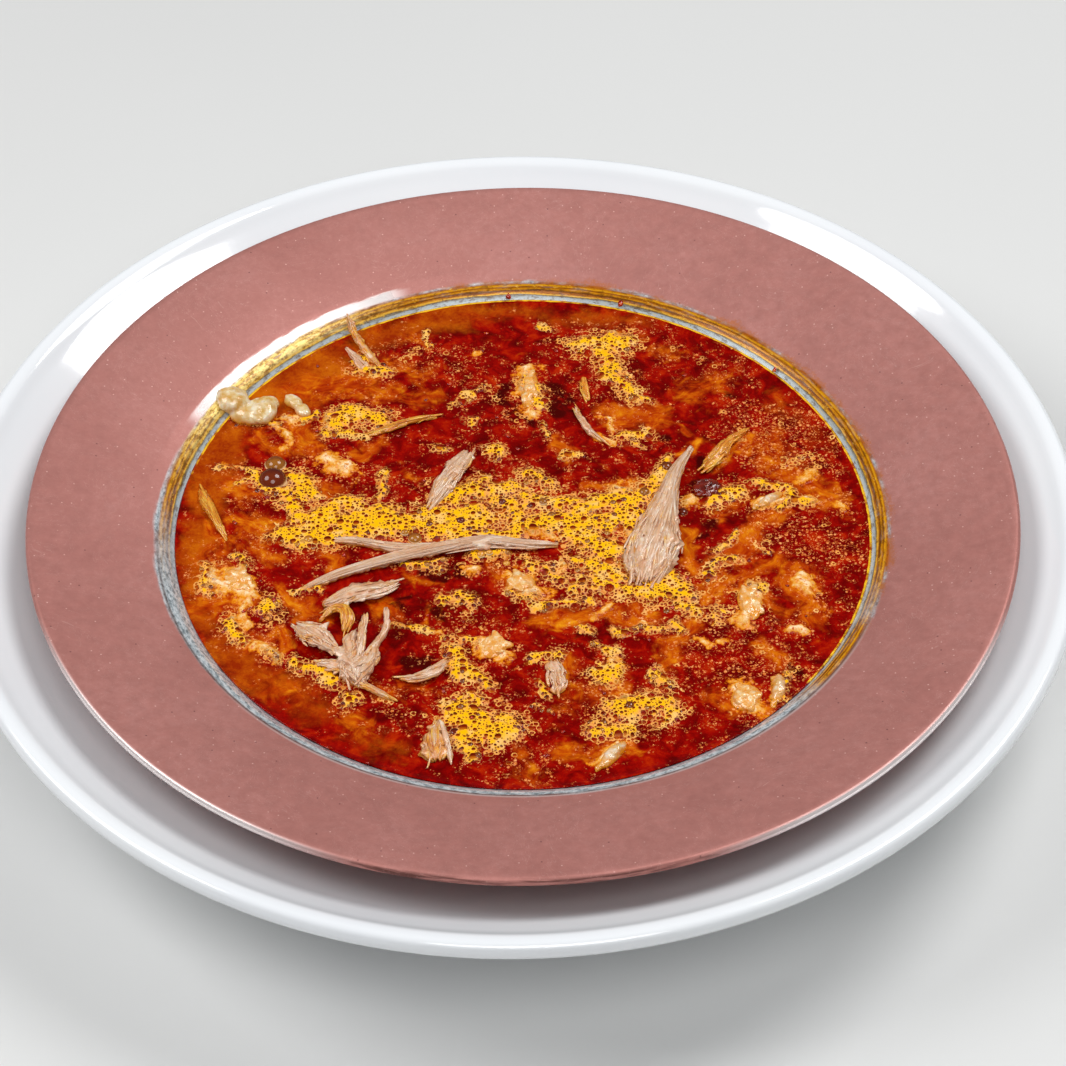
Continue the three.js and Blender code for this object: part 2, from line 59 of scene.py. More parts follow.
PLATE_LOW, PLATE_HIGH = (np.array(corner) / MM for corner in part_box("underplate"))
DISH_LOW, DISH_HIGH = (np.array(corner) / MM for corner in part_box("copper_dish"))
PLATE_RADIUS = (PLATE_HIGH[0] - PLATE_LOW[0]) / 2
PLATE_HEIGHT = PLATE_HIGH[2]
DISH_RADIUS = (DISH_HIGH[0] - DISH_LOW[0]) / 2
DISH_X = (DISH_HIGH[0] + DISH_LOW[0]) / 2
DISH_EDGE = DISH_HIGH[2]
DISH_BASE = DISH_LOW[2]
SOUP_DROP = 10.1  # from the dish's upper edge down to the soup
SOUP_LEVEL = DISH_EDGE - SOUP_DROP
WELL_RADIUS = 81.4
WELL_TOP = DISH_EDGE - 6.65
SHEET = 1.7  # thickness of the copper
WALL_SLOPE = 1.2  # how far the well widens for each millimetre of height at the soup's edge
SOUP_RADIUS = WELL_RADIUS - (WELL_TOP - SOUP_LEVEL) * WALL_SLOPE

# ------------------------------------------------------------------ numbers

STROKE_FADE = 1.7  # a stroke's strength falls to nothing at this many times its radius
STROKE_SHIFT = 3.7  # keeps the grain of one stroke apart from the next


def smooth(low, high, value):
    """0 below low, 1 above high, and an even curve between."""
    share = np.clip((value - low) / (high - low), 0, 1)
    return share * share * (3 - 2 * share)


def band(value, rise_from, rise_to, fall_from, fall_to):
    """1 between rise_to and fall_from, fading out on both sides."""
    return smooth(rise_from, rise_to, value) * (1 - smooth(fall_from, fall_to, value))


def grain_noise(x, y, cell, seed):
    """Smooth seeded noise from 0 to 1, over cells of the given size."""
    table = np.random.default_rng(seed).random((128, 128))
    u, v = np.asarray(x) / cell, np.asarray(y) / cell
    i, j = np.floor(u).astype(int), np.floor(v).astype(int)
    a, b = smooth(0, 1, u - i), smooth(0, 1, v - j)
    near = table[i % 128, j % 128] * (1 - a) + table[(i + 1) % 128, j % 128] * a
    far = table[i % 128, (j + 1) % 128] * (1 - a) + table[(i + 1) % 128, (j + 1) % 128] * a
    return near * (1 - b) + far * b


def fractal(x, y, cell, seed, octaves=3):
    """Noise from 0 to 1 with finer detail added at half the strength each time."""
    shares = [0.5 ** octave for octave in range(octaves)]
    total = sum(share * grain_noise(x, y, cell * share, seed + i) for i, share in enumerate(shares))
    return total / sum(shares)


def stroke_field(strokes, x, y):
    """The strongest of some brush strokes (x0, y0, x1, y1, radius, strength) at each point, with
    the point's place along and across that stroke."""
    field = np.zeros_like(x)
    flow = np.zeros((len(x), 3))
    for number, (x0, y0, x1, y1, radius, strength) in enumerate(strokes):
        length = max(math.hypot(x1 - x0, y1 - y0), 0.01)
        way = np.array([x1 - x0, y1 - y0]) / length
        along = (x - x0) * way[0] + (y - y0) * way[1]
        across = (y - y0) * way[0] - (x - x0) * way[1]
        reached = np.clip(along, 0, length)
        distance = np.hypot(x - x0 - reached * way[0], y - y0 - reached * way[1])
        value = strength * np.clip(1 - distance / (STROKE_FADE * radius), 0, 1)
        stronger = value > field
        field = np.where(stronger, value, field)
        shift = np.full_like(x, STROKE_SHIFT * number)
        flow[stronger] = np.column_stack([along, across, shift])[stronger]
    return field, flow * MM


def polar(x, y):
    """Distance from the middle, and direction in degrees anticlockwise from +X."""
    return np.hypot(x, y), np.degrees(np.arctan2(y, x)) % 360


def angle_window(angle, start, end, soft=8):
    """1 between two directions in degrees, fading out beyond."""
    middle, half = (start + end) / 2, (end - start) / 2
    away = np.abs((angle - middle + 180) % 360 - 180)
    return 1 - smooth(half - soft, half + soft, away)


def round_angles(count):
    """Evenly spread directions round a circle, in radians."""
    return np.arange(count) * 2 * math.pi / count


# ------------------------------------------------------------------ meshes


def add_piece(name, vertices, faces, material, replaces=(), layers=None, in_dish=True):
    """A smooth mesh piece on the body, from millimetre vertices and lists of corner numbers."""
    offset = np.array([DISH_X, 0, SOUP_LEVEL] if in_dish else [0, 0, 0])
    points = ((np.asarray(vertices) + offset) * MM).tolist()
    mesh = bpy.data.meshes.new(name)
    mesh.from_pydata(points, [], [list(map(int, face)) for face in faces])
    for layer, values in (layers or {}).items():
        values = np.asarray(values, np.float32)
        kind, key = ("FLOAT", "value") if values.ndim == 1 else ("FLOAT_VECTOR", "vector")
        mesh.attributes.new(layer, kind, "POINT").data.foreach_set(key, values.ravel())
    mesh.polygons.foreach_set("use_smooth", [True] * len(mesh.polygons))
    mesh.materials.append(material)
    mesh.validate()
    piece = bpy.data.objects.new(name, mesh)
    bpy.context.collection.objects.link(piece)
    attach(piece, "root")
    if replaces:
        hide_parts(*replaces)
    return piece


def add_food(name, vertices, faces, material, slot, node):
    """A piece of food in place of its node, with its height for the stain round its foot."""
    return add_piece(name, vertices, faces, material, [node], {"height": vertices[:, 2]})


def grid_faces(rows, columns, start=0):
    """Quads between rows of points, each row closed into a ring."""
    row, column = np.meshgrid(np.arange(rows - 1), np.arange(columns), indexing="ij")
    right = (column + 1) % columns
    corners = [row * columns + column, row * columns + right,
               (row + 1) * columns + right, (row + 1) * columns + column]
    return (np.stack(corners, axis=-1).reshape(-1, 4) + start).tolist()


def stacked_rings(radii, heights, count):
    """Points of level rings about Z, one ring after another."""
    angle = round_angles(count)
    radii, heights = (np.array(values, float)[:, None] for values in (radii, heights))
    points = [radii * np.cos(angle), radii * np.sin(angle), np.repeat(heights, count, axis=1)]
    return np.stack(points, axis=-1).reshape(-1, 3)


def fan(middle, start, count):
    """Triangles from a middle point to a ring of points."""
    return [[middle, start + i, start + (i + 1) % count] for i in range(count)]


def flipped(faces):
    return [face[::-1] for face in faces]


def closed_tube(rows, sides):
    """Faces of a tube of rings with both ends shut."""
    last = (rows - 1) * sides
    return grid_faces(rows, sides) + [list(range(sides))[::-1], list(range(last, last + sides))]


def joined(parts):
    """One (vertices, faces, layers) from several."""
    vertices, faces, layers, start = [], [], {}, 0
    for part_vertices, part_faces, part_layers in parts:
        vertices.append(np.asarray(part_vertices))
        faces.extend([[corner + start for corner in face] for face in part_faces])
        for key, values in part_layers.items():
            layers.setdefault(key, []).append(np.asarray(values))
        start += len(part_vertices)
    return np.concatenate(vertices), faces, {key: np.concatenate(values) for key, values in layers.items()}


def turned(profile, segments):
    """Vertices and faces of a solid of revolution whose profile starts and ends on the axis."""
    inner = np.array(profile[1:-1], float)
    rings = stacked_rings(*inner.T, segments)
    vertices = np.concatenate([rings, [[0, 0, profile[0][1]], [0, 0, profile[-1][1]]]])
    first, last = len(rings), len(rings) + 1
    faces = grid_faces(len(inner), segments) + flipped(fan(first, 0, segments))
    return vertices, faces + fan(last, first - segments, segments)


def bezier(p0, p1, p2, p3, count):
    """Points on a cubic curve, both ends included."""
    t = np.linspace(0, 1, count + 1)[:, None]
    p0, p1, p2, p3 = (np.array(p, float) for p in (p0, p1, p2, p3))
    return (p0 * (1 - t) ** 3 + 3 * p1 * t * (1 - t) ** 2 + 3 * p2 * t ** 2 * (1 - t) + p3 * t ** 3).tolist()


# ------------------------------------------------------------------ material nodes

Bubbles = namedtuple("Bubbles", "distance wall chance kind middle beyond")


class Look:
    """A material's node tree, with a short call for each kind of node it uses. Sizes are in
    millimetres."""

    def __init__(self, name):
        self.material = bpy.data.materials.new(name)
        self.material.use_nodes = True
        self.tree = self.material.node_tree
        self.place = self.tree.nodes.new("ShaderNodeTexCoord").outputs["Object"]

    def feed(self, socket, value):
        """A link or a plain value for a socket; one number is a grey for a colour socket."""
        if isinstance(value, bpy.types.NodeSocket):
            self.tree.links.new(value, socket)
        elif socket.type == "RGBA":
            socket.default_value = (*(value if isinstance(value, tuple) else (value,) * 3), 1)
        else:
            socket.default_value = value

    def finish(self, **values):
        """The material, with values or links for its shader's own sockets, and _ for a space."""
        for key, value in values.items():
            self.feed(self.tree.nodes["Principled BSDF"].inputs[key.replace("_", " ")], value)
        return self.material

    def node(self, kind, *values, operation=None, **inputs):
        """A new node, with values or links for its first inputs and for the named ones."""
        node = self.tree.nodes.new("ShaderNode" + kind)
        if operation:
            node.operation = operation
        for socket, value in zip(node.inputs, values):
            self.feed(socket, value)
        for name, value in inputs.items():
            self.feed(node.inputs[name], value)
        return node

    def attribute(self, name, output="Fac"):
        node = self.node("Attribute")
        node.attribute_name = name
        return node.outputs[output]

    def calculated(self, operation, *values):
        return self.node("Math", *values, operation=operation).outputs[0]

    plus = partialmethod(calculated, "ADD")
    minus = partialmethod(calculated, "SUBTRACT")
    times = partialmethod(calculated, "MULTIPLY")
    over = partialmethod(calculated, "DIVIDE")
    scaled = partialmethod(calculated, "MULTIPLY_ADD")  # the first by the second, plus the third
    power = partialmethod(calculated, "POWER")
    larger = partialmethod(calculated, "MAXIMUM")
    smaller = partialmethod(calculated, "MINIMUM")
    unsigned = partialmethod(calculated, "ABSOLUTE")

    def fade(self, value, low, high, to_low=0.0, to_high=1.0):
        """value read from low..high onto to_low..to_high by a smooth step."""
        node = self.node("MapRange", value, low, high, to_low, to_high)
        node.interpolation_type = "SMOOTHSTEP"
        return node.outputs[0]

    def mix(self, share, a, b):
        """The colour a where share is 0 and b where it is 1."""
        node = self.node("Mix")
        node.data_type = "RGBA"
        factor, _, _, _, _, _, first, second, *_ = node.inputs
        for socket, value in ((factor, share), (first, a), (second, b)):
            self.feed(socket, value)
        return node.outputs[2]

    def ramp(self, share, *stops):
        """A colour ramp of (place, colour) stops."""
        node = self.node("ValToRGB", share)
        elements = node.color_ramp.elements
        while len(elements) < len(stops):
            elements.new(0.5)
        for element, (place, colour) in zip(elements, stops):
            element.position = place
            element.color = (*colour, 1)
        return node.outputs[0]

    def noise(self, size, detail=3.0, roughness=0.55, vector=None, distortion=0.0):
        """Noise from 0 to 1 with features of a size."""
        return self.node(
            "TexNoise", Vector=vector or self.place, Scale=1 / (size * MM), Detail=detail,
            Roughness=roughness, Distortion=distortion).outputs["Fac"]

    def voronoi(self, feature, size, vector, randomness):
        node = self.tree.nodes.new("ShaderNodeTexVoronoi")
        node.voronoi_dimensions = "2D"
        node.feature = feature
        for name, value in (("Vector", vector), ("Scale", 1 / (size * MM)), ("Randomness", randomness)):
            self.feed(node.inputs[name], value)
        return node.outputs

    def cells(self, size, vector=None):
        """Flat cells of a size: the distance to the middle, as a share of that size, and two
        random values for each cell."""
        outputs = self.voronoi("F1", size, vector or self.place, 1.0)
        chance, kind, _ = self.node("SeparateColor", outputs["Color"]).outputs
        return outputs["Distance"], chance, kind

    def spots(self, size, border, chosen):
        """Round spots in some cells of a size, soft over a border given as shares of that size."""
        distance, chance, _ = self.cells(size)
        return self.times(self.fade(distance, *border, 0.8, 0), self.fade(chance, *chosen))

    def foam(self, size, vector):
        """Packed bubbles of a size: how far each point is from its bubble's middle and from the
        nearest wall, two random values for each bubble, its middle, and how far beyond that
        middle the point lies."""
        nearest = self.voronoi("F1", size, vector, 0.85)
        second = self.voronoi("F2", size, vector, 0.85)["Distance"]
        wall = self.times(self.minus(second, nearest["Distance"]), 0.5 * size)
        chance, kind, _ = self.node("SeparateColor", nearest["Color"]).outputs
        here, middle = (self.node("SeparateXYZ", v).outputs[1] for v in (vector, nearest["Position"]))
        distance = self.times(nearest["Distance"], size)
        beyond = self.over(self.minus(here, middle), MM)
        return Bubbles(distance, wall, chance, kind, nearest["Position"], beyond)

    def stretched(self, vector, share):
        """A vector whose first axis runs at a share of its pace, which draws patterns out along it."""
        return self.node("VectorMath", vector, (share, 1.0, 1.0), operation="MULTIPLY").outputs[0]

    def shifted(self, vector, noise_size, amount):
        """A vector moved about by noise."""
        noise = self.node("TexNoise", Vector=vector, Scale=1 / (noise_size * MM)).outputs["Color"]
        push = (2 * amount * MM,) * 3
        return self.node("VectorMath", noise, push, vector, operation="MULTIPLY_ADD").outputs[0]

    def bump(self, height, depth, strength=1.0, **under):
        """A bump of a depth for a height from 0 to 1, over a Normal if one is given."""
        return self.node("Bump", Strength=strength, Distance=depth * MM, Height=height, **under).outputs[0]


def porcelain():
    look = Look("porcelain")
    return look.finish(
        Base_Color=look.ramp(look.noise(60, 2), (0.3, (0.86, 0.88, 0.91)), (0.7, (0.90, 0.92, 0.94))),
        Roughness=look.fade(look.noise(25), 0.3, 0.7, 0.07, 0.13),
        Coat_Weight=0.6,
        Coat_Roughness=0.04,
        Normal=look.bump(look.noise(14, 1), 0.06, 0.5),
    )


def copper_colour(look, lengthwise):
    """Copper with pale specks, dark pits and fine scratches, and painted shade on the front of its edge."""
    mottle = look.noise(1.6, 4, 0.75)
    patches = look.noise(26, 5, 0.6, distortion=0.4)
    copper = look.ramp(look.plus(look.times(mottle, 0.5), look.times(patches, 0.5)),
                       (0.34, (0.455, 0.184, 0.158)), (0.5, (0.495, 0.208, 0.179)),
                       (0.68, (0.555, 0.249, 0.220)))
    copper = look.mix(look.spots(2.1, (0.05, 0.10), (0.86, 0.95)), copper, (0.85, 0.52, 0.46))
    copper = look.mix(look.spots(4.5, (0.02, 0.055), (0.84, 0.9)), copper, (0.16, 0.06, 0.055))
    # Painted shade: the front of the rolled edge darkened, in streaks.
    painted_edge_shade = look.times(look.attribute("edge"), look.fade(lengthwise, 0.45, 0.6))
    copper = look.mix(painted_edge_shade, copper, (0.16, 0.06, 0.05))
    scratch = look.unsigned(look.minus(look.noise(30, 5, 0.8, distortion=2.5), 0.5))
    return look.mix(look.fade(scratch, 0.0, 0.004, 0.28, 0), copper, (0.80, 0.50, 0.45))


def tin_colour(look, around):
    return look.ramp(look.noise(0.8, 3, 0.75, look.stretched(around, 0.5)),
                     (0.36, (0.24, 0.28, 0.30)), (0.47, (0.50, 0.56, 0.59)), (0.6, (0.82, 0.86, 0.88)))


def dried_oil_colour(look, around, lengthwise):
    """Oil dried on the wall in rings one above the other, with gaps, glints and a lit stretch."""
    crinkle = look.scaled(look.noise(0.5, 4, 0.7), 0.35, lengthwise)
    height = look.scaled(look.minus(crinkle, 0.675), 0.22, look.attribute("climb"))
    oil = look.ramp(height, (0.03, (0.84, 0.38, 0.006)), (0.08, (0.88, 0.84, 0.72)),
                    (0.15, (0.60, 0.66, 0.68)), (0.33, (0.44, 0.50, 0.52)),
                    (0.40, (0.16, 0.11, 0.05)), (0.45, (0.92, 0.50, 0.04)),
                    (0.52, (0.44, 0.13, 0.001)), (0.60, (0.13, 0.03, 0.0005)), (0.68, (0.66, 0.26, 0.002)),
                    (0.77, (0.26, 0.06, 0.0005)), (0.86, (0.72, 0.32, 0.006)), (1.0, (0.34, 0.08, 0.001)))
    glints = look.noise(0.9, 3, 0.8, look.stretched(around, 0.4))
    oil = look.mix(look.fade(glints, 0.36, 0.50, 0.65, 0), oil, (0.12, 0.04, 0.002))
    oil = look.mix(look.fade(glints, 0.60, 0.70, 0, 0.6), oil, (0.98, 0.60, 0.07))
    lit = look.times(look.attribute("lit"), look.fade(glints, 0.40, 0.60, 0.15, 0.85))
    return look.mix(lit, oil, (1.0, 0.80, 0.26))


def copper_and_tin():
    """Matte copper outside the well, tin inside it, and dried oil on the wall above the soup."""
    look = Look("copper_and_tin")
    tin, film, polish_and_painted_highlight = (look.attribute(name) for name in ("tin", "film", "polish_and_painted_highlight"))
    around = look.attribute("around", "Vector")
    lengthwise = look.noise(1.0, 4, vector=look.stretched(around, 0.10))
    surface = look.mix(tin, copper_colour(look, lengthwise), tin_colour(look, around))
    wet = look.fade(look.noise(1.1, 3, vector=look.stretched(around, 0.2)), 0.32, 0.5, 0.88, 1.0)
    surface = look.mix(look.times(film, wet), surface, dried_oil_colour(look, around, lengthwise))
    droplets = look.scaled(look.noise(0.7, 4, 0.8), 1.6, look.attribute("stain"))
    surface = look.mix(look.fade(droplets, 1.1, 1.6, 0, 0.6), surface, (0.52, 0.15, 0.02))
    surface = look.mix(look.attribute("seam"), surface, (0.10, 0.045, 0.03))
    rough = look.fade(look.noise(3, 5), 0.3, 0.7, 0.44, 0.56)
    for share, level in ((tin, 0.28), (film, 0.24), (polish_and_painted_highlight, 0.16)):
        rough = look.mix(share, rough, level)
    hammered = look.bump(look.noise(0.7, 3, 0.8), 0.03, 0.4)
    return look.finish(
        # Painted highlight: the base colour made nearly white where the metal is glossier.
        Base_Color=look.mix(look.times(polish_and_painted_highlight, 0.9), surface, (1.0, 0.95, 0.93)),
        Metallic=look.mix(film, 0.42, 0.08),
        Specular_IOR_Level=0.2,
        Roughness=rough,
        Normal=look.bump(look.noise(14, 1), 0.1, 0.3, Normal=hammered),
    )


def oil_and_broth(look, layer, fine, ragged):
    """Red oil, clear amber broth near the wall, orange clouds of sunk food, and dark gaps."""
    wisps = look.noise(5.0, 5, 0.58, distortion=0.8)
    oil = look.ramp(look.scaled(fine, 0.20, look.times(wisps, 0.80)),
                    (0.36, (0.10, 0.0002, 0.0001)), (0.47, (0.19, 0.0005, 0.0002)),
                    (0.56, (0.31, 0.0025, 0.0003)), (0.68, (0.46, 0.022, 0.0006)))
    amber = look.ramp(look.scaled(fine, 0.3, look.times(look.noise(8, 5), 0.7)),
                      (0.38, (0.28, 0.020, 0.0005)), (0.5, (0.41, 0.058, 0.001)),
                      (0.62, (0.54, 0.115, 0.002)))
    fibre = look.noise(1.1, 3, vector=look.stretched(look.attribute("flow", "Vector"), 0.16))
    cloud = look.ramp(look.plus(look.times(fibre, 0.4), look.times(wisps, 0.6)),
                      (0.36, (0.29, 0.010, 0.0003)), (0.46, (0.46, 0.048, 0.0008)),
                      (0.56, (0.63, 0.135, 0.002)), (0.68, (0.82, 0.32, 0.008)))
    colour = look.mix(look.fade(look.scaled(ragged, 0.9, layer["amber"]), 0.52, 1.20), oil, amber)
    colour = look.mix(look.fade(look.scaled(ragged, 1.7, layer["cloud"]), 1.02, 1.62), colour, cloud)
    dark_here = look.fade(look.scaled(ragged, 1.7, layer["dark"]), 1.15, 1.6)
    return look.mix(dark_here, colour, (0.06, 0.0008, 0.0003))


def soft_crumbs(look, layer, fine):
    """Soft rice and crumbs, yellow at the border and cream in the middle: where, and the colour."""
    crumb = look.plus(look.scaled(look.noise(2.2, 5, 0.62), 1.5, layer["cream"]), look.times(fine, 0.35))
    colour = look.ramp(look.fade(crumb, 1.25, 2.0), (0.0, (0.60, 0.11, 0.002)), (0.22, (0.80, 0.28, 0.008)),
                       (0.48, (0.86, 0.44, 0.10)), (0.74, (0.90, 0.58, 0.26)), (1.0, (0.94, 0.76, 0.50)))
    return look.fade(crumb, 1.22, 1.46), colour


def drifting_foam(look, layer, fine):
    """Specks and broken lines of foam that drift on the oil: where, and the colour."""
    drift = look.fade(look.scaled(layer["lace"], 0.32, look.noise(2.6, 5, 0.7)), 0.59, 0.69)
    distance, chance, kind = look.cells(0.9, look.shifted(look.place, 0.6, 0.16))
    inner = look.minus(distance, look.scaled(look.power(kind, 2.2), 0.30, 0.12))
    specks = look.times(look.fade(inner, -0.05, 0.08, 1, 0), look.fade(chance, 0.36, 0.40))
    line = look.unsigned(look.minus(look.noise(1.9, 3, distortion=1.6), 0.5))
    lines = look.times(look.fade(line, 0.010, 0.030, 1, 0), look.fade(look.noise(0.8, 3), 0.46, 0.54))
    colour = look.ramp(fine, (0.36, (0.52, 0.08, 0.008)), (0.5, (0.78, 0.23, 0.05)),
                       (0.64, (0.93, 0.42, 0.16)))
    return look.times(look.times(look.larger(specks, lines), drift), 0.95), colour


# Holes in the froth: size of their cells, share of the cells that have one, least and greatest
# radius, and how rare the large ones are
FROTH_HOLES = [(0.62, 0.50, 0.10, 0.24, 1.0), (1.2, 0.88, 0.16, 0.50, 1.5), (2.7, 0.50, 0.28, 0.95, 1.5)]
FINE_HOLES = 1.0  # holes in cells below this size don't show in the relief


def froth_mass(look, thick):
    """The froth between its holes: orange where thin and yellow where thick, with cream patches."""
    tone = look.scaled(look.noise(1.8, 4, 0.65), 0.9, look.times(thick, 0.5))
    mass = look.ramp(tone, (0.30, (0.62, 0.15, 0.015)), (0.46, (0.78, 0.27, 0.05)),
                     (0.60, (0.90, 0.39, 0.09)), (0.74, (0.96, 0.43, 0.010)), (0.92, (1.0, 0.50, 0.0003)))
    return look.mix(look.fade(look.noise(4.5, 3, 0.6), 0.53, 0.66, 0, 0.7), mass, (0.94, 0.56, 0.20))


def hole_colour(look, hole, radius, thick, below):
    """What shows inside a hole: orange at its near side and dark at its far side as painted shade, clear
    where thin.
    """
    near = look.mix(hole.kind, (0.36, 0.045, 0.001), (0.66, 0.18, 0.006))
    far = look.mix(hole.chance, (0.04, 0.0008, 0.0004), (0.20, 0.010, 0.0008))
    # Painted shade: dark toward the back of each hole, lighter toward the front.
    inside = look.mix(look.fade(look.over(hole.beyond, radius), -0.9, 0.2), near, far)
    return look.mix(look.fade(thick, 0, 0.6, 0.7, 0), inside, below)


def froth(look, layer, fine, ragged, below):
    """Froth, with rings of single bubbles along its border: where, the colour, and its holes."""
    place = look.shifted(look.place, 2.4, 0.16)
    holes = [look.foam(size, place) for size, *_ in FROTH_HOLES]
    single = holes[1]
    at_middle = look.noise(4.5, 4, 0.66, single.middle, 0.6)
    border = look.plus(look.scaled(at_middle, 1.7, layer["froth"]), look.times(single.chance, 0.16))
    ringed = look.times(look.fade(border, 1.12, 1.14), look.fade(single.distance, 0.66, 0.74, 1, 0))
    ringed = look.times(ringed, look.fade(layer["lace"], 0.36, 0.44))
    strength = look.scaled(ragged, 1.7, layer["froth"])
    filled = look.fade(look.scaled(fine, 0.15, strength), 1.37, 1.43)
    thick = look.fade(strength, 1.22, 1.68)
    mass = froth_mass(look, thick)
    colour, opening = mass, 0.0
    for hole, (size, share, least, greatest, rarity) in zip(holes, FROTH_HOLES):
        radius = look.scaled(look.power(hole.kind, rarity), greatest - least, least)
        radius = look.times(radius, look.fade(thick, 0, 1, 1.5, 0.98))
        exists = look.fade(hole.chance, 1 - share, 1 - share + 0.02)
        inner = look.minus(radius, hole.distance)
        # Lighter ring round each hole: partly the foam's own paler walls, partly a painted highlight.
        ring = look.times(look.fade(inner, -0.24, -0.12), exists)
        rim = look.mix(look.fade(thick, 0, 1, 0.45, 0.15), mass, (1.0, 0.57, 0.15))
        colour = look.mix(ring, colour, rim)
        inner = look.smaller(inner, look.minus(hole.wall, look.fade(thick, 0, 1, 0.02, 0.05)))
        open_here = look.times(look.fade(inner, -0.05, 0.05), exists)
        colour = look.mix(open_here, colour, hole_colour(look, hole, radius, thick, below))
        if size > FINE_HOLES:
            opening = look.larger(look.times(opening, look.minus(1.0, ring)), open_here)
    return look.larger(ringed, filled), colour, opening


def soup_surface():
    """Chilli oil and broth, with crumbs of rice, drifting foam and froth on it."""
    look = Look("soup_surface")
    names = ("froth", "lace", "cloud", "cream", "amber", "dark", "brim")
    layer = {name: look.attribute(name) for name in names}
    fine = look.noise(0.75, 3, 0.65)
    ragged = look.noise(4.5, 4, 0.66, distortion=0.6)
    colour = oil_and_broth(look, layer, fine, ragged)
    crumbs_here, crumbs = soft_crumbs(look, layer, fine)
    colour = look.mix(crumbs_here, colour, crumbs)
    foam_here, foam = drifting_foam(look, layer, fine)
    colour = look.mix(foam_here, colour, foam)
    froth_here, froth_colour, opening = froth(look, layer, fine, ragged, colour)
    colour = look.mix(froth_here, colour, froth_colour)
    brim_here = look.fade(look.scaled(look.noise(2.5, 4), 0.9, layer["brim"]), 1.25, 1.5)
    colour = look.mix(brim_here, colour, (0.88, 0.50, 0.02))
    body = look.larger(froth_here, look.times(crumbs_here, 0.8))
    relief = look.times(look.minus(1.0, opening), look.fade(layer["froth"], 0.30, 0.5))
    return look.finish(
        Base_Color=colour,
        Roughness=look.fade(body, 0, 1, 0.07, 0.24),
        Specular_IOR_Level=0.08,
        Normal=look.bump(look.scaled(fine, 0.2, relief), 0.25, 0.8),
    )


def bubble_film():
    """Bubbles: clear windows onto the broth, with painted shade on their far side, and a foot of pale foam.
    """
    look = Look("bubble_film")
    rise, tone, painted_far_shade = (look.attribute(name) for name in ("rise", "tone", "painted_far_shade"))
    near = look.mix(tone, (0.15, 0.014, 0.002), (0.80, 0.36, 0.04))
    far = look.mix(tone, (0.05, 0.002, 0.001), (0.36, 0.06, 0.004))
    foot = look.mix(tone, (0.90, 0.58, 0.30), (0.96, 0.74, 0.40))
    # Painted shade: the window darkens toward the back of each bubble.
    window = look.mix(look.fade(look.scaled(look.noise(0.8, 3), 0.6, painted_far_shade), -0.1, 0.9), near, far)
    return look.finish(
        Base_Color=look.mix(look.fade(look.scaled(look.noise(0.5), 0.15, rise), 0.16, 0.34), foot, window),
        Roughness=0.05,
        Coat_Weight=0.25,
        Coat_Roughness=0.02,
        Specular_IOR_Level=0.4,
    )


def meat():
    """Moist shredded lamb: pale fibres with painted shade in their grooves, stained orange near the soup."""
    look = Look("lamb")
    grain = look.attribute("grain", "Vector")
    height, tint, painted_shade = (look.attribute(name) for name in ("height", "tint", "painted_shade"))
    fibre = look.noise(0.5, 5, 0.7, look.stretched(grain, 0.09))
    broad = look.noise(2.6, 4, 0.6, look.stretched(grain, 0.3))
    colour = look.ramp(look.plus(look.times(fibre, 0.45), look.times(broad, 0.55)),
                       (0.36, (0.56, 0.26, 0.12)), (0.45, (0.74, 0.42, 0.25)),
                       (0.54, (0.85, 0.57, 0.40)), (0.66, (0.98, 0.83, 0.67)))
    # Painted shade: the creases darkened toward brown.
    colour = look.mix(look.times(painted_shade, 0.7), colour, (0.46, 0.15, 0.04))
    oiled = look.ramp(fibre, (0.36, (0.48, 0.09, 0.003)), (0.5, (0.76, 0.27, 0.015)),
                      (0.64, (0.94, 0.54, 0.08)))
    stain = look.scaled(look.noise(1.8, 5, 0.65), 1.2, tint)
    colour = look.mix(look.fade(stain, 0.56, 1.10), colour, oiled)
    foot = look.scaled(look.noise(1.1, 4, 0.7), -1.8, height)
    colour = look.mix(look.fade(foot, -0.7, 0.3, 0.95, 0.0), colour, oiled)
    return look.finish(
        Base_Color=colour,
        Roughness=look.fade(look.noise(1.5), 0.3, 0.7, 0.24, 0.42),
        Subsurface_Weight=0.2,
        Subsurface_Radius=(1.0, 0.45, 0.25),
        Subsurface_Scale=0.001,
        Coat_Weight=0.6,
        Coat_Roughness=0.08,
        Coat_Normal=look.bump(look.noise(0.45, 3), 0.10, 0.7),
        Normal=look.bump(fibre, 0.14, 0.7),
    )


def soft_food(name, low, middle, high, stain_colour, roughness=0.25, subsurface=0.3, size=1.5, stained=-0.9):
    """Rice, fat and other soft pale food, stained by the oil round its foot."""
    look = Look(name)
    colour = look.ramp(look.noise(size, 6, 0.65), (0.36, low), (0.5, middle), (0.62, high))
    wet = look.scaled(look.noise(1.3, 5, 0.7), -2.6, look.attribute("height"))
    colour = look.mix(look.fade(wet, stained, stained + 1.7, 1.0, 0.0), colour, stain_colour)
    distance, chance, kind = look.cells(0.7)
    pores = look.fade(look.scaled(kind, -0.2, distance), 0.02, 0.12, 1, 0)
    pores = look.times(pores, look.fade(chance, 0.4, 0.5))
    pores = look.times(pores, look.fade(wet, stained - 0.2, stained + 0.9, 0.9, 0.0))
    return look.finish(
        Base_Color=look.mix(pores, colour, (0.22, 0.03, 0.003)),
        Roughness=roughness,
        Subsurface_Weight=subsurface,
        Subsurface_Radius=(1.0, 0.7, 0.4),
        Subsurface_Scale=0.0015,
        Coat_Weight=0.6,
        Coat_Roughness=0.08,
        Normal=look.bump(look.noise(0.7, 4), 0.12, 0.5),
    )


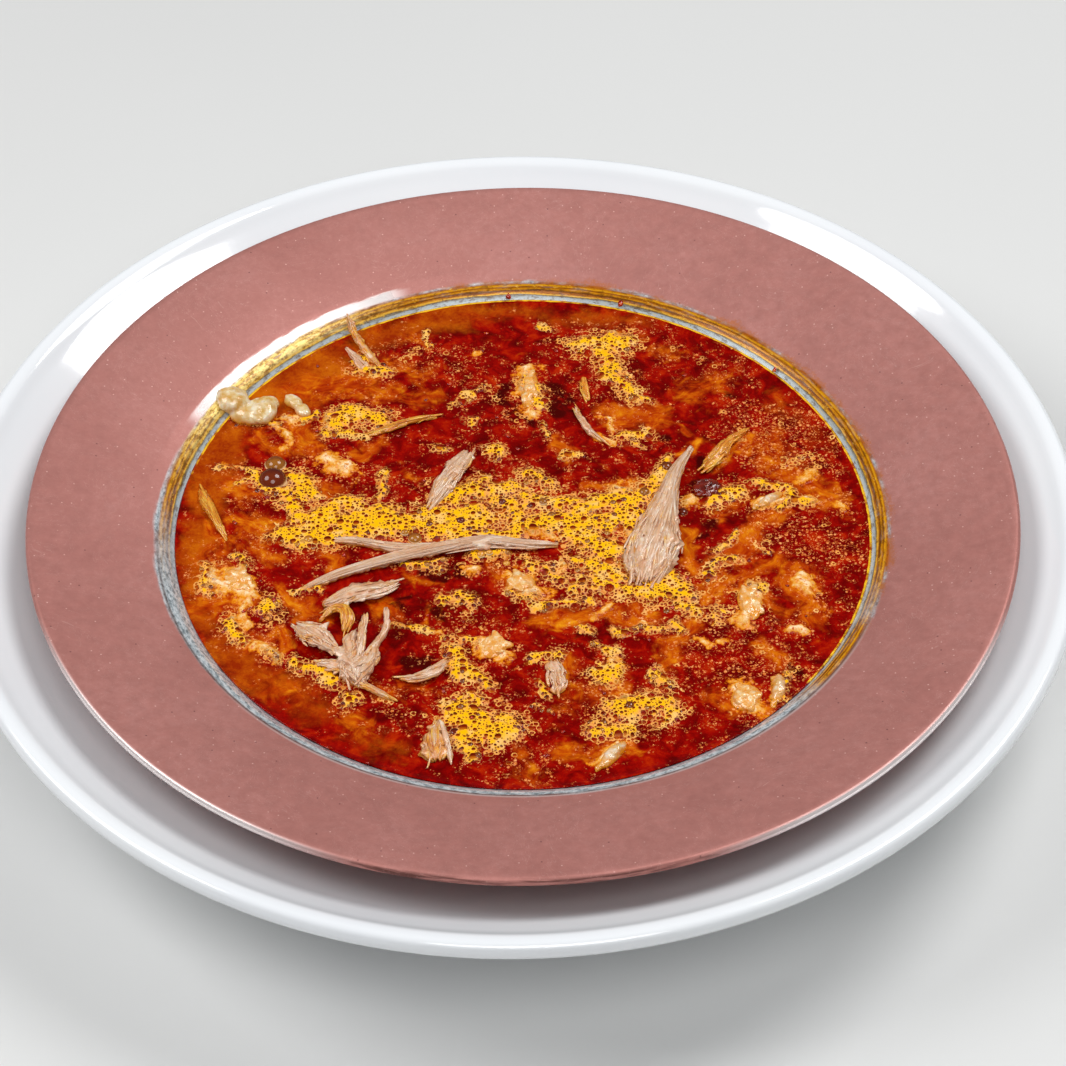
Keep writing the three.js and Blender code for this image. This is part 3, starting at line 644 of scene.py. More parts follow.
def chilli_skin():
    look = Look("chilli_skin")
    return look.finish(
        Base_Color=look.ramp(look.noise(0.9, 3), (0.35, (0.16, 0.004, 0.002)), (0.55, (0.50, 0.02, 0.004)),
                             (0.7, (0.85, 0.16, 0.01))),
        Roughness=0.2,
        Coat_Weight=0.6,
        Coat_Roughness=0.05,
        Normal=look.bump(look.noise(0.5), 0.08, 0.6),
    )


def pale_floor():
    look = Look("pale_floor")
    return look.finish(
        Base_Color=look.ramp(look.noise(300, 2), (0.3, (0.72, 0.72, 0.71)), (0.7, (0.75, 0.75, 0.74))),
        Roughness=0.6,
    )


# ------------------------------------------------------------------ plate and dish


def make_plate():
    r, h = PLATE_RADIUS, PLATE_HEIGHT
    foot, foot_height, floor_radius, floor_top = 66, 3.2, 66, 6.2
    under = [[0, foot_height - 0.8], [foot - 7, foot_height - 0.8]]
    ring = [[59.6, 1.8], [60, 0.5], [60.6, 0], [65.4, 0], [65.9, 0.4], [66.1, 1.4]]
    outer_wall = bezier([foot + 1.2, foot_height + 1.2], [86, 10], [108, 23.6], [r - 1.6, h - 4.8], 18)
    lip = bezier([r - 0.2, h - 3.1], [r + 0.25, h - 1.0], [r - 0.7, h + 0.1], [r - 2.0, h - 0.02], 10)
    inner_wall = bezier([r - 5.2, h - 1.6], [105, 26.4], [87, 13.6], [floor_radius, floor_top + 0.25], 24)
    profile = [*under, *ring, *outer_wall, [r - 0.75, h - 4.0], *lip, [r - 3.4, h - 0.3],
               [r - 4.4, h - 0.85], *inner_wall, [60, floor_top], [0, floor_top]]
    profile = [[min(radius, r), min(height, h)] for radius, height in profile]
    vertices, faces = turned(profile, 256)
    add_piece("plate_glazed", vertices, faces, porcelain(), ["underplate"], in_dish=False)


def dish_profile():
    """The copper sheet's underside and rolled edge, then its rim and the well's wall and floor."""
    r, top, lip = DISH_RADIUS, DISH_EDGE, WELL_RADIUS
    inner = DISH_BASE + SHEET
    wall = bezier([lip, WELL_TOP], [70, DISH_BASE + 17.8], [64, inner], [48, inner], 36)
    under = [[radius + SHEET * 0.7 * (1 - i / 36), z - SHEET * (0.75 + 0.25 * i / 36)]
             for i, (radius, z) in enumerate(wall)]
    edge = 1.1  # radius of the rolled edge
    rolled = [[r - edge + edge * math.sin(a), top - edge + edge * math.cos(a)]
              for a in np.linspace(math.pi * 0.85, 0, 9)]
    shoulder_start = [lip + 4.4, WELL_TOP + 0.9]
    rim = bezier([r - 2.2, top - 0.28], [r - 10, top - 1.9], [r - 17, top - 3.6], shoulder_start, 40)
    shoulder = bezier(shoulder_start, [lip + 3.4, WELL_TOP + 0.66], [lip + 1.0, WELL_TOP - 0.32],
                      [lip - 1.1, WELL_TOP - 1.05], 14)
    below = [[0, DISH_BASE], *under[::-4], [lip + 5, WELL_TOP - SHEET + 1], [r - 3.5, top - 2.7], *rolled]
    above = [*rim, *shoulder[1:], *(point for point in wall if point[0] < lip - 1.3), [0, inner]]
    return below, above


def dish_layers(vertices, upper):
    """Where the upper side is tinned, oiled, stained or seamed, where the front of the edge gets painted
    shade, and where the metal is made glossier and painted pale as a highlight.
    """
    radius, angle = polar(*vertices[:, :2].T)
    beyond = radius - WELL_RADIUS
    height = np.clip((radius - SOUP_RADIUS) / (WELL_RADIUS - SOUP_RADIUS), -1, 3)
    wave = (fractal(angle * 1.4, radius, 4, 11) - 0.5) * 2
    smear = 0.5 * angle_window(angle, 165, 202) * (0.5 + fractal(angle * 1.2, radius, 6, 12))
    back = angle_window(angle, -24, 184, 14)
    film = back * smooth(-0.05, 0.0, height) * (1 - smooth(1.02, 1.12, height + 0.10 * wave))
    left = 0.7 * angle_window(angle, 170, 205, 10) * band(height, 0.0, 0.1, 0.2, 0.3)
    patch = angle_window(angle, 318, 338, 5) * band(height, 0.1, 0.4, 1.0, 1.2)
    stain = angle_window(angle, -35, 110, 20) * smooth(0.90, 1.0, height)
    stain *= (1 - smooth(1.0, 1.7, height + 0.3 * wave)) * (0.35 + 0.6 * fractal(angle * 2.2, radius, 3, 13))
    # Painted highlight: a pale streak on the shoulder at the back left.
    highlight = angle_window(angle, 111, 155, 3) * smooth(0.3, 0.5, beyond)
    highlight *= 1 - smooth(2.3, 2.6, beyond + 0.25 * wave)
    # Painted highlight, with glossier metal: a faint pale line along the front of the shoulder.
    streak = 0.4 * angle_window(angle, 225, 330, 12) * band(beyond, 0.5, 0.6, 0.9, 1.1)
    # Painted highlight on the rolled edge at the front left and front right.
    rolled = 0.9 * smooth(DISH_RADIUS - 0.9, DISH_RADIUS - 0.4, radius) * (
        angle_window(angle, 205, 245, 8) + angle_window(angle, 295, 335, 8))
    seam = 0.85 * (1 - back) * (1 - smooth(0.02, 0.07, np.abs(height - 1.04 + 0.02 * wave)))
    return {
        "tin": (1 - smooth(0.0, 0.7, beyond - 0.5 * wave - smear)) * upper,
        "film": np.maximum.reduce([film, left, patch]) * upper,
        "climb": height,
        "stain": stain * upper,
        # Painted shade on the front of the rolled edge, from 246 to 292 degrees.
        "edge": smooth(DISH_RADIUS - 0.9, DISH_RADIUS - 0.1, radius) * angle_window(angle, 246, 292, 10),
        "polish_and_painted_highlight": np.maximum.reduce([highlight * upper, streak * upper, rolled]),
        "seam": seam * upper,
        "lit": angle_window(angle, 120, 162, 12) * smooth(0.35, 0.5, height) * upper,
        "around": np.stack([np.radians(angle) * WELL_RADIUS, radius, vertices[:, 2]], axis=1) * MM,
    }


def make_dish():
    segments = 512
    below, above = dish_profile()
    vertices, faces = turned([[radius, z - SOUP_LEVEL] for radius, z in below + above], segments)
    upper = np.arange(len(vertices)) >= segments * (len(below) - 1)
    layers = dish_layers(vertices, upper)
    add_piece("dish_copper", vertices, faces, copper_and_tin(), ["copper_dish"], layers)


# ------------------------------------------------------------------ what lies where in the soup

# Brush strokes (x0, y0, x1, y1, radius, strength) in millimetres from the middle of the dish
FROTH = [
    # left of the middle
    (-50, 3, -38, 3, 3.0, 0.9), (-45, 3, -22, 1, 4.6, 1), (-22, 3, -10, 3, 4.6, 1),
    (-17, 9, -11, 14, 3.2, 1), (-12, 11, -2, 12, 3.2, 0.8), (-6, 8, 0, 3, 3.6, 0.75),
    (-52, 18, -50, 12, 3.4, 1), (-61, 18, -57, 12, 2.4, 0.85), (-54, 11, -51, 6, 2.8, 0.9),
    (-66, 36, -57, 35, 1.2, 0.8), (-52, 36.5, -48, 40, 1.2, 0.8), (-44, 8, -38, 7, 2.4, 0.8),
    (-34, 8, -31, 18, 1.8, 0.75), (-43, 37, -34, 36, 3.6, 0.9), (-45, 33, -37, 31, 2, 0.8),
    (-39, 54, -30, 52, 2.2, 0.85), (-40, 57, -36, 60, 1.6, 0.7), (-16, 40, -9, 47, 1.8, 0.6),
    (-22, 67, -20, 62, 2.4, 0.55), (-19, 26, -18, 26, 2, 0.8), (-7, 26, -5, 24, 2.2, 0.85),
    (-13, 36, -12, 34, 1.8, 0.6), (-69, 22, -62, 20, 1.8, 0.6), (-66, 15, -60, 17, 1.6, 0.6),
    # back and right
    (15, 62, 24, 62, 3.8, 1), (20, 58, 22, 52, 3.2, 0.95), (22, 52, 26, 44, 2.8, 0.9),
    (26, 43, 31, 41, 2.2, 0.7), (4, 68, 8, 68, 1.8, 0.75), (22, 30, 29, 30, 2.2, 0.8),
    (23, 27, 26, 26, 1.5, 0.7), (3, 46, 5, 42, 2.6, 0.85), (5, 33, 6, 30, 1.6, 0.75),
    (10, 24, 14, 24, 2, 0.6), (2, 17, 5, 14, 2.8, 0.8), (0, 8, 12, 8, 3, 0.85), (14, 6, 26, 8, 3.8, 0.95),
    (22, 3, 29, 12, 3, 0.9), (33, 22, 31, 14, 1.8, 0.8), (0, 1, 24, 1, 3.6, 1), (42, 6, 49, 9, 2.6, 0.85),
    (52, 13, 59, 12, 1.8, 0.75), (61, 8, 65, 6, 2, 0.85), (60, 20, 66, 22, 1.4, 0.55),
    # front right
    (13, -3, 19, -10, 4.8, 1), (14, -12, 20, -17, 3, 0.95), (1, -12, 8, -15, 2.4, 0.75),
    (4, -24, 14, -24, 2.4, 0.7), (12, -18, 22, -22, 3, 0.85), (26, -22, 34, -21, 4, 1),
    (30, -18, 34, -17, 2, 0.9), (33, -26, 38, -26, 2.4, 0.8), (31, -30, 33, -33, 1.6, 0.75),
    (40, -25, 43, -28, 2, 0.65), (41, -15, 45, -11, 2, 0.8), (43, -8, 47, -4, 1.5, 0.7),
    (52, -9, 53, -9, 2, 0.6), (46, -21, 53, -19, 2, 0.7), (12, -31, 14, -33, 1.4, 0.7),
    (20, -33, 28, -32, 1.8, 0.75), (3, -41, 8, -41, 1.8, 0.8), (3, -48, 5, -52, 1.4, 0.7),
    (15, -38, 20, -40, 1.8, 0.75), (15, -45, 20, -45, 2, 0.8), (20, -56, 28, -54, 4.2, 0.95),
    (15, -62, 22, -62, 2.8, 0.9), (55.4, -54, 56, -47, 1.3, 0.8), (58, 4.6, 60, 10, 1.4, 0.8),
    (30, -50, 28, -46, 1.6, 0.75), (1, -55, 5, -58, 1.4, 0.6),
    # front left
    (-54, -2, -44, -3, 3.2, 0.95), (-44, -2, -20, 0, 2.8, 1), (-20, -1, -10, -3, 2.6, 1),
    (-8, -2, 0, -3, 3, 0.9), (-28, -12, -18, -11, 1.4, 0.75), (-12, -9, -4, -9, 1.8, 0.9),
    (-62, -9, -60, -12, 2, 0.75), (-70, -10, -68, -18, 2.6, 0.7), (-55, -24, -54, -25, 2.4, 0.95),
    (-65, -29, -61, -33, 2.2, 0.9), (-49, -19, -44, -18, 1.4, 0.7), (-47, -42, -40, -46, 2.2, 0.95),
    (-37, -50, -36, -52, 2, 0.95), (-30, -30, -20, -30, 1.6, 0.65), (-17, -33, -10, -34, 1.8, 0.65),
    (-15, -37, -13, -44, 3, 0.95), (-12, -44, -8, -50, 2.4, 0.9), (-19, -21, -12, -24, 2, 0.7),
    (-12, -57, -6, -62, 4.6, 1), (-13, -62, -12, -67, 2.4, 0.95), (-4, -20, 3, -22, 1.6, 0.8),
    (-55, -38, -52, -40, 1.8, 0.7),
]
LACE = [
    (-30, 60, -12, 52, 7, 0.6), (36, 60, 50, 50, 8, 0.45), (52, 34, 68, 30, 7, 0.9),
    (56, -2, 70, -8, 8, 0.9), (54, 24, 68, 20, 6, 0.85), (36, -40, 56, -46, 8, 0.7),
    (30, -60, 44, -60, 6, 0.4), (-28, -52, -16, -62, 6, 0.6), (-6, -70, 8, -72, 5, 0.55),
    (-20, 14, -30, 14, 6, 0.5), (8, 20, 28, 20, 7, 0.4), (-60, -30, -52, -30, 5, 0.6),
    (-14, -28, -4, -30, 6, 0.6), (-8, 50, -2, 34, 6, 0.5), (-16, -50, -16, -54, 4, 0.7),
    (60, -30, 70, -26, 5, 0.5), (14, 46, 6, 56, 6, 0.45), (-44, -10, -34, -10, 6, 0.35),
    (42, -30, 46, -20, 4, 0.7), (-66, 10, -60, 6, 5, 0.5),
]
CLOUD = [
    (-50, 48, -36, 50, 5, 0.85), (-30, 55, -23, 52, 4, 0.6), (-26, 66, -22, 62, 4, 0.5),
    (-38, 46, -22, 43, 3, 0.75), (-52, 33, -48, 27, 4, 0.95), (-60, 30, -56, 27, 3, 0.8),
    (-37, 24, -33, 28, 2, 0.9), (-67, 16, -62, 12, 3, 0.8), (-65, 4, -58, 0, 4, 0.8),
    (-48, 16, -44, 12, 3, 0.6), (-27, 19, -24, 16, 2, 0.4), (40, 44, 47, 48, 5, 0.6),
    (29, 62, 36, 58, 3, 0.55), (21, 37, 31, 36, 4, 1), (58, 37, 60, 40, 2, 0.6), (41, 28, 36, 22, 1.3, 0.9),
    (51, 29, 44, 19, 2.4, 0.95), (14, 13, 30, 13, 1.8, 0.95), (56, 24, 62, 15, 5, 0.75),
    (64, 13, 70, 8, 4, 0.8), (43, 2, 50, 8, 2.6, 0.8), (8, 27, 12, 24, 2.4, 0.8), (34, 34, 38, 30, 1, 0.6),
    (57, 3, 44, -12, 3, 1), (44, -12, 40, -21, 2.8, 1), (38, -27, 33, -36, 2.6, 1),
    (32, -36, 30, -45, 2, 0.95), (55, -12, 46, -18, 2.2, 0.8), (36, -2, 38, -14, 2.2, 0.95),
    (60, -15, 62, -30, 4, 0.75), (52, -24, 56, -28, 3.4, 0.7), (5, -29, 12, -28.5, 2.4, 1),
    (18, -28, 26, -29, 2.2, 0.85), (9, -44, 11, -52, 3, 0.85), (14, -50, 22, -48, 3, 0.7),
    (5, -57, 9, -56, 2, 0.7), (10, -68, 22, -68, 3, 0.75), (50, -38, 54, -44, 2.4, 0.75),
    (0, -68, 2, -76, 2, 0.5), (40, -52, 50, -58, 3, 0.85), (26, -8, 20, -16, 3, 0.6),
    (-71, 0, -66, -6, 3, 0.7), (-58, -3, -56, -8, 3, 0.75), (-44, -7, -42, -12, 2, 0.75),
    (-70, -22, -62, -22, 4, 0.85), (-60, -34, -56, -32, 3, 0.75), (-51, -21, -44, -26, 2.6, 0.9),
    (-52, -30, -50, -36, 2.4, 0.85), (-55, -48, -50, -50, 3, 0.5), (-37, -57, -34, -60, 3, 0.6),
    (-32, -22, -28, -28, 2.4, 0.75), (-23, -22, -22, -28, 0.8, 0.8), (-19, -24, -18, -28, 0.6, 0.8),
    (-8, -13, -4, -16, 2.4, 0.75), (-26, -15, -20, -16, 1.6, 0.6), (-20, -48, -30, -50, 3, 0.5),
    (-70, -8, -66, -20, 3.4, 0.9), (-6, 4, 0, 6, 3, 0.7),
]
CREAM = [
    (-45, 23, -40, 19, 2.8, 0.9), (-46, 38, -45, 34, 1.8, 0.8), (-57, 34, -53, 31, 1.8, 0.8),
    (-54, 29, -54, 27, 0.9, 0.7), (-56, 38, -52, 37, 1.6, 0.9), (-69, 22, -64, 21, 1.6, 0.5),
    (2, 52, 2, 38, 2.6, 0.85), (19, 37, 20, 33, 1.5, 0.95), (16, 30, 20, 28, 1.3, 0.8),
    (22, 66, 22, 64, 1.4, 1), (6.5, 69.5, 6.5, 68, 1, 1), (23, 12, 30, 10, 2.2, 0.85),
    (10, 10, 14, 9, 1.4, 0.6), (63, 14, 66, 16, 2, 0.7), (64, 8, 66, 6, 1.8, 0.8), (71, 6, 72, 5, 2, 0.65),
    (-68, -13, -60, -20, 3, 0.9), (-61, -22, -60, -28, 1.8, 0.85), (-64, -28, -63, -29, 1.6, 0.9),
    (-57, -36, -53, -39, 2.4, 0.9), (-52, 4, -40, 4, 1.4, 0.75), (-42, -4, -38, -4, 1.5, 0.8),
    (-8, -9, -4, -9, 1.8, 0.95), (-13, -13, -12, -14, 1.6, 0.9), (-3, -16, 3, -20, 3, 1),
    (-8, -35, -5, -39, 3, 0.95), (-24, -30, -18, -31, 1.4, 0.6), (49, -20, 48, -30, 2.4, 1),
    (62, -17, 63, -21, 1.8, 1), (57, -35, 59, -35, 1.6, 1), (46, -50, 47, -56, 3, 0.95),
    (43, -36, 44, -36, 1.4, 0.6), (38, -36, 41, -38, 2, 0.6), (18, -42, 20, -46, 1.8, 0.7),
    (16.4, -70.6, 19.6, -66.6, 1.8, 0.75), (53, -53, 54.4, -48, 1.8, 0.7), (53.6, 5.4, 58, 9, 1.9, 0.85),
    (3, -2, 6, -4, 2.4, 0.75), (20, -1, 24, -3, 1.6, 0.7), (15, -29, 19, -26, 1.2, 0.7),
    (8, -11, 9, -12, 1.2, 0.85), (20, -34, 20, -33, 1.2, 0.75), (25, -30, 25, -30, 1, 0.8),
    (-12, 60, -11, 61, 1.2, 0.6), (44, 19, 46, 21, 1.2, 0.7), (37, 8, 36, 6, 1.8, 0.8),
]
DARK = [
    (1, 36, 3, 34, 2, 0.9), (-3, 45, -4, 40, 3, 0.7), (8, 47, 10, 38, 3.2, 0.75), (50, 42, 51, 42, 3, 0.6),
    (33, 30, 34, 28, 1.8, 0.7), (52, 4, 54, 3, 2, 0.5), (40, -4, 41, 1, 1.8, 0.7),
    (56, -46, 59, -47, 1.4, 0.9), (-24, -40, -22, -41, 2.6, 0.9), (-36, -17, -34, -17, 2, 0.8),
    (-22, -13, -14, -14, 2.6, 0.8), (40, 20, 41, 18, 2, 1), (40, 12, 43, 11, 2.6, 1),
    (-27, -22, -18, -26, 4, 0.6), (12, -33, 18, -34, 2, 0.5), (-40, -28, -34, -27, 2, 0.6),
    (8, -5, 10, -3, 1.2, 0.8), (-6, 36, -8, 34, 3, 0.6), (15, 36, 12, 44, 2.6, 0.6),
    (-20, 2, -21, 1, 0.8, 0.4),
]
AMBER = [
    (-45, 58, -60, 42, 7, 1), (-68, 32, -73, 8, 4.5, 1), (-74, 0, -72, -16, 3.4, 0.9),
    (-15, 73, -36, 66, 4.5, 0.75), (-12, 75, 30, 70, 3.4, 0.5), (-67, -34, -58, -46, 4.5, 0.75),
    (-44, -54, -55, -46, 5, 0.55), (-72, -24, -70, -28, 3, 0.7), (-40, 62, -36, 50, 5, 0.7),
    (-30, 70, -28, 68, 4, 0.7), (60, 40, 68, 28, 4, 0.35), (-36, -62, -28, -66, 4, 0.4),
]

MENISCUS_HEIGHT = 0.5
MENISCUS_WIDTH = 2.2


def soup_layers(x, y):
    """The strength of each kind of surface at each point of the soup."""
    warp_x = x + 5.5 * (fractal(x, y, 10, 21) - 0.5) + 4.0 * (fractal(x, y, 3.6, 23) - 0.5)
    warp_y = y + 5.5 * (fractal(x, y, 10, 31) - 0.5) + 4.0 * (fractal(x, y, 3.6, 33) - 0.5)
    skirts = [(*line, 2.2 * radius, 0.75 * strength) for *line, radius, strength in FROTH + CREAM]

    def field(strokes):
        return stroke_field(strokes, warp_x, warp_y)[0]

    cloud, flow = stroke_field(CLOUD, warp_x, warp_y)
    radius, angle = polar(x, y)
    return {
        "froth": field(FROTH),
        "lace": np.maximum(field(skirts), field(LACE)),
        "cloud": cloud,
        "flow": flow,
        "cream": field(CREAM),
        "amber": field(AMBER),
        "dark": field(DARK),
        "brim": smooth(SOUP_RADIUS - 0.3, SOUP_RADIUS + 0.2, radius) * angle_window(angle, -50, 175, 20),
    }


def surface_height(x, y, layers):
    """Height of the surface above the soup's level."""
    mound = 0.8 * smooth(0.3, 0.8, layers["froth"]) * (0.6 + 0.7 * fractal(x, y, 2.5, 41))
    clump = 0.8 * smooth(0.35, 0.8, layers["cream"]) * (0.5 + 1.0 * fractal(x, y, 2.0, 43))
    ripple = 0.10 * (fractal(x, y, 3.0, 45) - 0.5)
    climb = smooth(SOUP_RADIUS - MENISCUS_WIDTH, SOUP_RADIUS + 0.6, np.hypot(x, y))
    return (np.maximum(mound, clump) + ripple) * (1 - climb) + MENISCUS_HEIGHT * climb ** 2


def height_at(x, y):
    """Height of the surface at one spot."""
    spot = np.array([x]), np.array([y])
    return float(surface_height(*spot, soup_layers(*spot))[0])


def disc_grid(radius, spacing):
    """Evenly spread points and triangles of a disc, in rings of 6, 12, 18... points."""
    rings = round(radius / spacing)
    points, faces = [(0.0, 0.0)], []
    for k in range(1, rings + 1):
        angle = round_angles(6 * k)
        reach = radius * k / rings
        points.extend(zip((reach * np.cos(angle)).tolist(), (reach * np.sin(angle)).tolist()))
        outer, inner = 1 + 3 * k * (k - 1), 1 + 3 * (k - 1) * (k - 2)
        for side in range(6):
            for j in range(k):
                here = outer + side * k + j
                following = outer + (side * k + j + 1) % (6 * k)
                near = inner + (side * (k - 1) + j) % (6 * (k - 1)) if k > 1 else 0
                faces.append([here, following, near])
                if j < k - 1:
                    faces.append([near, following, inner + (side * (k - 1) + j + 1) % (6 * (k - 1))])
    return np.array(points), faces, rings


def make_soup():
    """The soup's surface, closed below by rings that narrow toward the bottom."""
    points, faces, rings = disc_grid(SOUP_RADIUS + 0.7, spacing=0.45)
    x, y = points.T
    layers = soup_layers(x, y)
    surface = np.column_stack([x, y, surface_height(x, y, layers)])
    radii, heights = (SOUP_RADIUS - 1.5, 66, 52), (-2.5, -13.5, -21.0)
    border = 6 * rings
    below = np.concatenate([stacked_rings(radii, heights, border), [[0, 0, heights[-1]]]])
    vertices = np.concatenate([surface, below])
    last = len(vertices) - 1
    faces += flipped(grid_faces(len(radii) + 1, border, len(points) - border))
    faces += flipped(fan(last, last - border, border))
    layers = {key: np.concatenate([v, np.zeros((len(below), *v.shape[1:]))]) for key, v in layers.items()}
    add_piece("soup_with_froth", vertices, faces, soup_surface(), ["broth"], layers)


# ------------------------------------------------------------------ bubbles

BUBBLE_TRIES = 26000
BUBBLE_GAP = 0.12  # least space between two bubbles
BUBBLE_CELL = 2  # size of the cells in which a bubble's neighbours are looked for
BUBBLE_SUNK = 0.15


def dome(x, y, z, radius, tone, segments, rings, rise, flare=1.0):
    """A bubble standing on the surface, its foot flared: vertices, faces and layers."""
    share = np.arange(rings) / rings
    lean = share * math.pi / 2
    reach = radius * np.cos(lean)
    reach[0] *= flare
    height = 1.1 * rise * radius
    walls = stacked_rings(reach, height * np.sin(lean), segments)
    vertices = np.concatenate([walls, [[0, 0, height]]]) + [x, y, z - BUBBLE_SUNK]
    top = len(walls)
    faces = grid_faces(rings, segments) + fan(top, top - segments, segments) + [list(range(segments))[::-1]]
    return vertices, faces, {
        "rise": np.append(np.repeat(share, segments), 1.0),
        # Painted shade: how far toward the back of the bubble a point lies.
        "painted_far_shade": np.append(np.outer(np.cos(lean), np.sin(round_angles(segments))), 0.0),
        "tone": np.full(len(vertices), tone),
    }


BIG_BUBBLES = [
    # x, y, radius, tone, rise
    (-57, 16.2, 3.3, 0.02, 0.8), (-56.6, 21.6, 2.4, 0.3, 0.7), (33, 18.6, 1.4, 0.1, 0.7),
    (27.6, 10, 1.25, 0.3, 0.7), (-24.2, -3.2, 1.6, 0.4, 0.7), (-26.5, -1.5, 0.9, 0.5, 0.7),
    (-48, -3.6, 1.1, 0.7, 0.6), (-19.2, -66, 1.2, 0.2, 0.7), (-9.5, -9, 1.0, 0.9, 0.7),
    (-7.6, -8.6, 0.8, 0.9, 0.7), (-3.8, -11.4, 0.9, 0.9, 0.7), (22, -55, 1.0, 0.1, 0.6),
    (-4.6, 7.6, 0.9, 0.0, 0.7), (4.6, 7.6, 1.0, 0.3, 0.6), (6.5, 3.2, 0.9, 0.3, 0.6),
    (36, 4, 1.2, 0.0, 0.7), (-14, 1.6, 1.0, 0.0, 0.7), (-21, 0.8, 0.9, 0.1, 0.6),
    (-15, -61.6, 1.0, 0.0, 0.5), (31, -27, 0.8, 0.2, 0.6),
]


def free_spots(x, y, radius, wanted):
    """Numbers of the wanted spots where a small bubble touches neither a large one nor an
    earlier small one."""
    grid, free = {}, []

    def cell_of(place):
        return int(place // BUBBLE_CELL)

    for big_x, big_y, reach, *_ in BIG_BUBBLES:
        spans = (range(cell_of(v - reach) - 1, cell_of(v + reach) + 2) for v in (big_x, big_y))
        for cell in product(*spans):
            grid.setdefault(cell, []).append((big_x, big_y, reach))
    for k in wanted:
        i, j = cell_of(x[k]), cell_of(y[k])
        cells = product((i - 1, i, i + 1), (j - 1, j, j + 1))
        near = [other for cell in cells for other in grid.get(cell, [])]
        if all(math.hypot(x[k] - ox, y[k] - oy) > radius[k] + reach + BUBBLE_GAP for ox, oy, reach in near):
            grid.setdefault((i, j), []).append((x[k], y[k], radius[k]))
            free.append(k)
    return free


def make_bubbles():
    """Large bubbles one by one, then many small ones in the froth, none over another."""
    domes = [dome(x, y, height_at(x, y) - 0.1, radius, tone, 28, 10, rise, 1.2)
             for x, y, radius, tone, rise in BIG_BUBBLES]
    rng = np.random.default_rng(5)
    x, y = rng.uniform(-SOUP_RADIUS, SOUP_RADIUS, (BUBBLE_TRIES, 2)).T
    radius = 0.24 + 0.62 * rng.random(BUBBLE_TRIES) ** 3.2
    tone = 0.8 * rng.random(BUBBLE_TRIES) ** 1.5
    chance = rng.random(BUBBLE_TRIES)
    layers = soup_layers(x, y)
    froth_here = layers["froth"]
    height = surface_height(x, y, layers) - 0.12
    wanted = (froth_here > 0.35) & (np.hypot(x, y) < SOUP_RADIUS - 2) & (chance < 0.25 + 0.75 * froth_here)
    for k in free_spots(x, y, radius, np.flatnonzero(wanted)):
        domes.append(dome(x[k], y[k], height[k], radius[k], tone[k], 10, 3, 0.55))
    vertices, faces, layers = joined(domes)
    add_piece("froth_bubbles", vertices, faces, bubble_film(), layers=layers)


# ------------------------------------------------------------------ meat

ROWS_PER_MM = 3.2  # rows of points along a strip
TORN = 1.6  # how unevenly a strip's ends are torn
Strip = namedtuple("Strip", "spine along side over half_width half_depth length widest")


def smooth_path(points, count):
    """Points spread along a curve that passes through the given ones."""
    points = np.array(points, float)
    padded = np.vstack([2 * points[0] - points[1], points, 2 * points[-1] - points[-2]])
    t = np.linspace(0, len(points) - 1, count)
    i = np.minimum(t.astype(int), len(points) - 2)
    f = (t - i)[:, None]
    a, b, c, d = (padded[i + k] for k in range(4))
    slope, curve, twist = c - a, 2 * a - 5 * b + 4 * c - d, 3 * b - a - 3 * c + d
    return 0.5 * (2 * b + slope * f + curve * f ** 2 + twist * f ** 3)


def frames(path):
    """Tangent, side and upward directions along a path."""
    along = np.gradient(path, axis=0)
    along /= np.linalg.norm(along, axis=1)[:, None]
    side = np.cross(along, [0, 0, 1])
    side /= np.linalg.norm(side, axis=1)[:, None]
    return along, side, np.cross(side, along)


def read_between(values, place):
    """Values or rows of values that are spread evenly from 0 to 1, read at any place between."""
    even = np.linspace(0, 1, len(values))
    if values.ndim == 1:
        return np.interp(place, even, values)
    return np.stack([np.interp(place, even, column) for column in values.T], axis=-1)


def strip_shape(path, width, depth):
    """A strip's spine, the directions along it and its half sizes there."""
    length = np.linalg.norm(np.diff(np.array(path, float), axis=0), axis=1).sum()
    count = max(18, int(length * ROWS_PER_MM))
    spine = smooth_path(path, count)
    even = np.linspace(0, 1, count)
    half_width, half_depth = (read_between(np.array(size) / 2, even) for size in (width, depth))
    return Strip(spine, *frames(spine), half_width, half_depth, length, max(width))


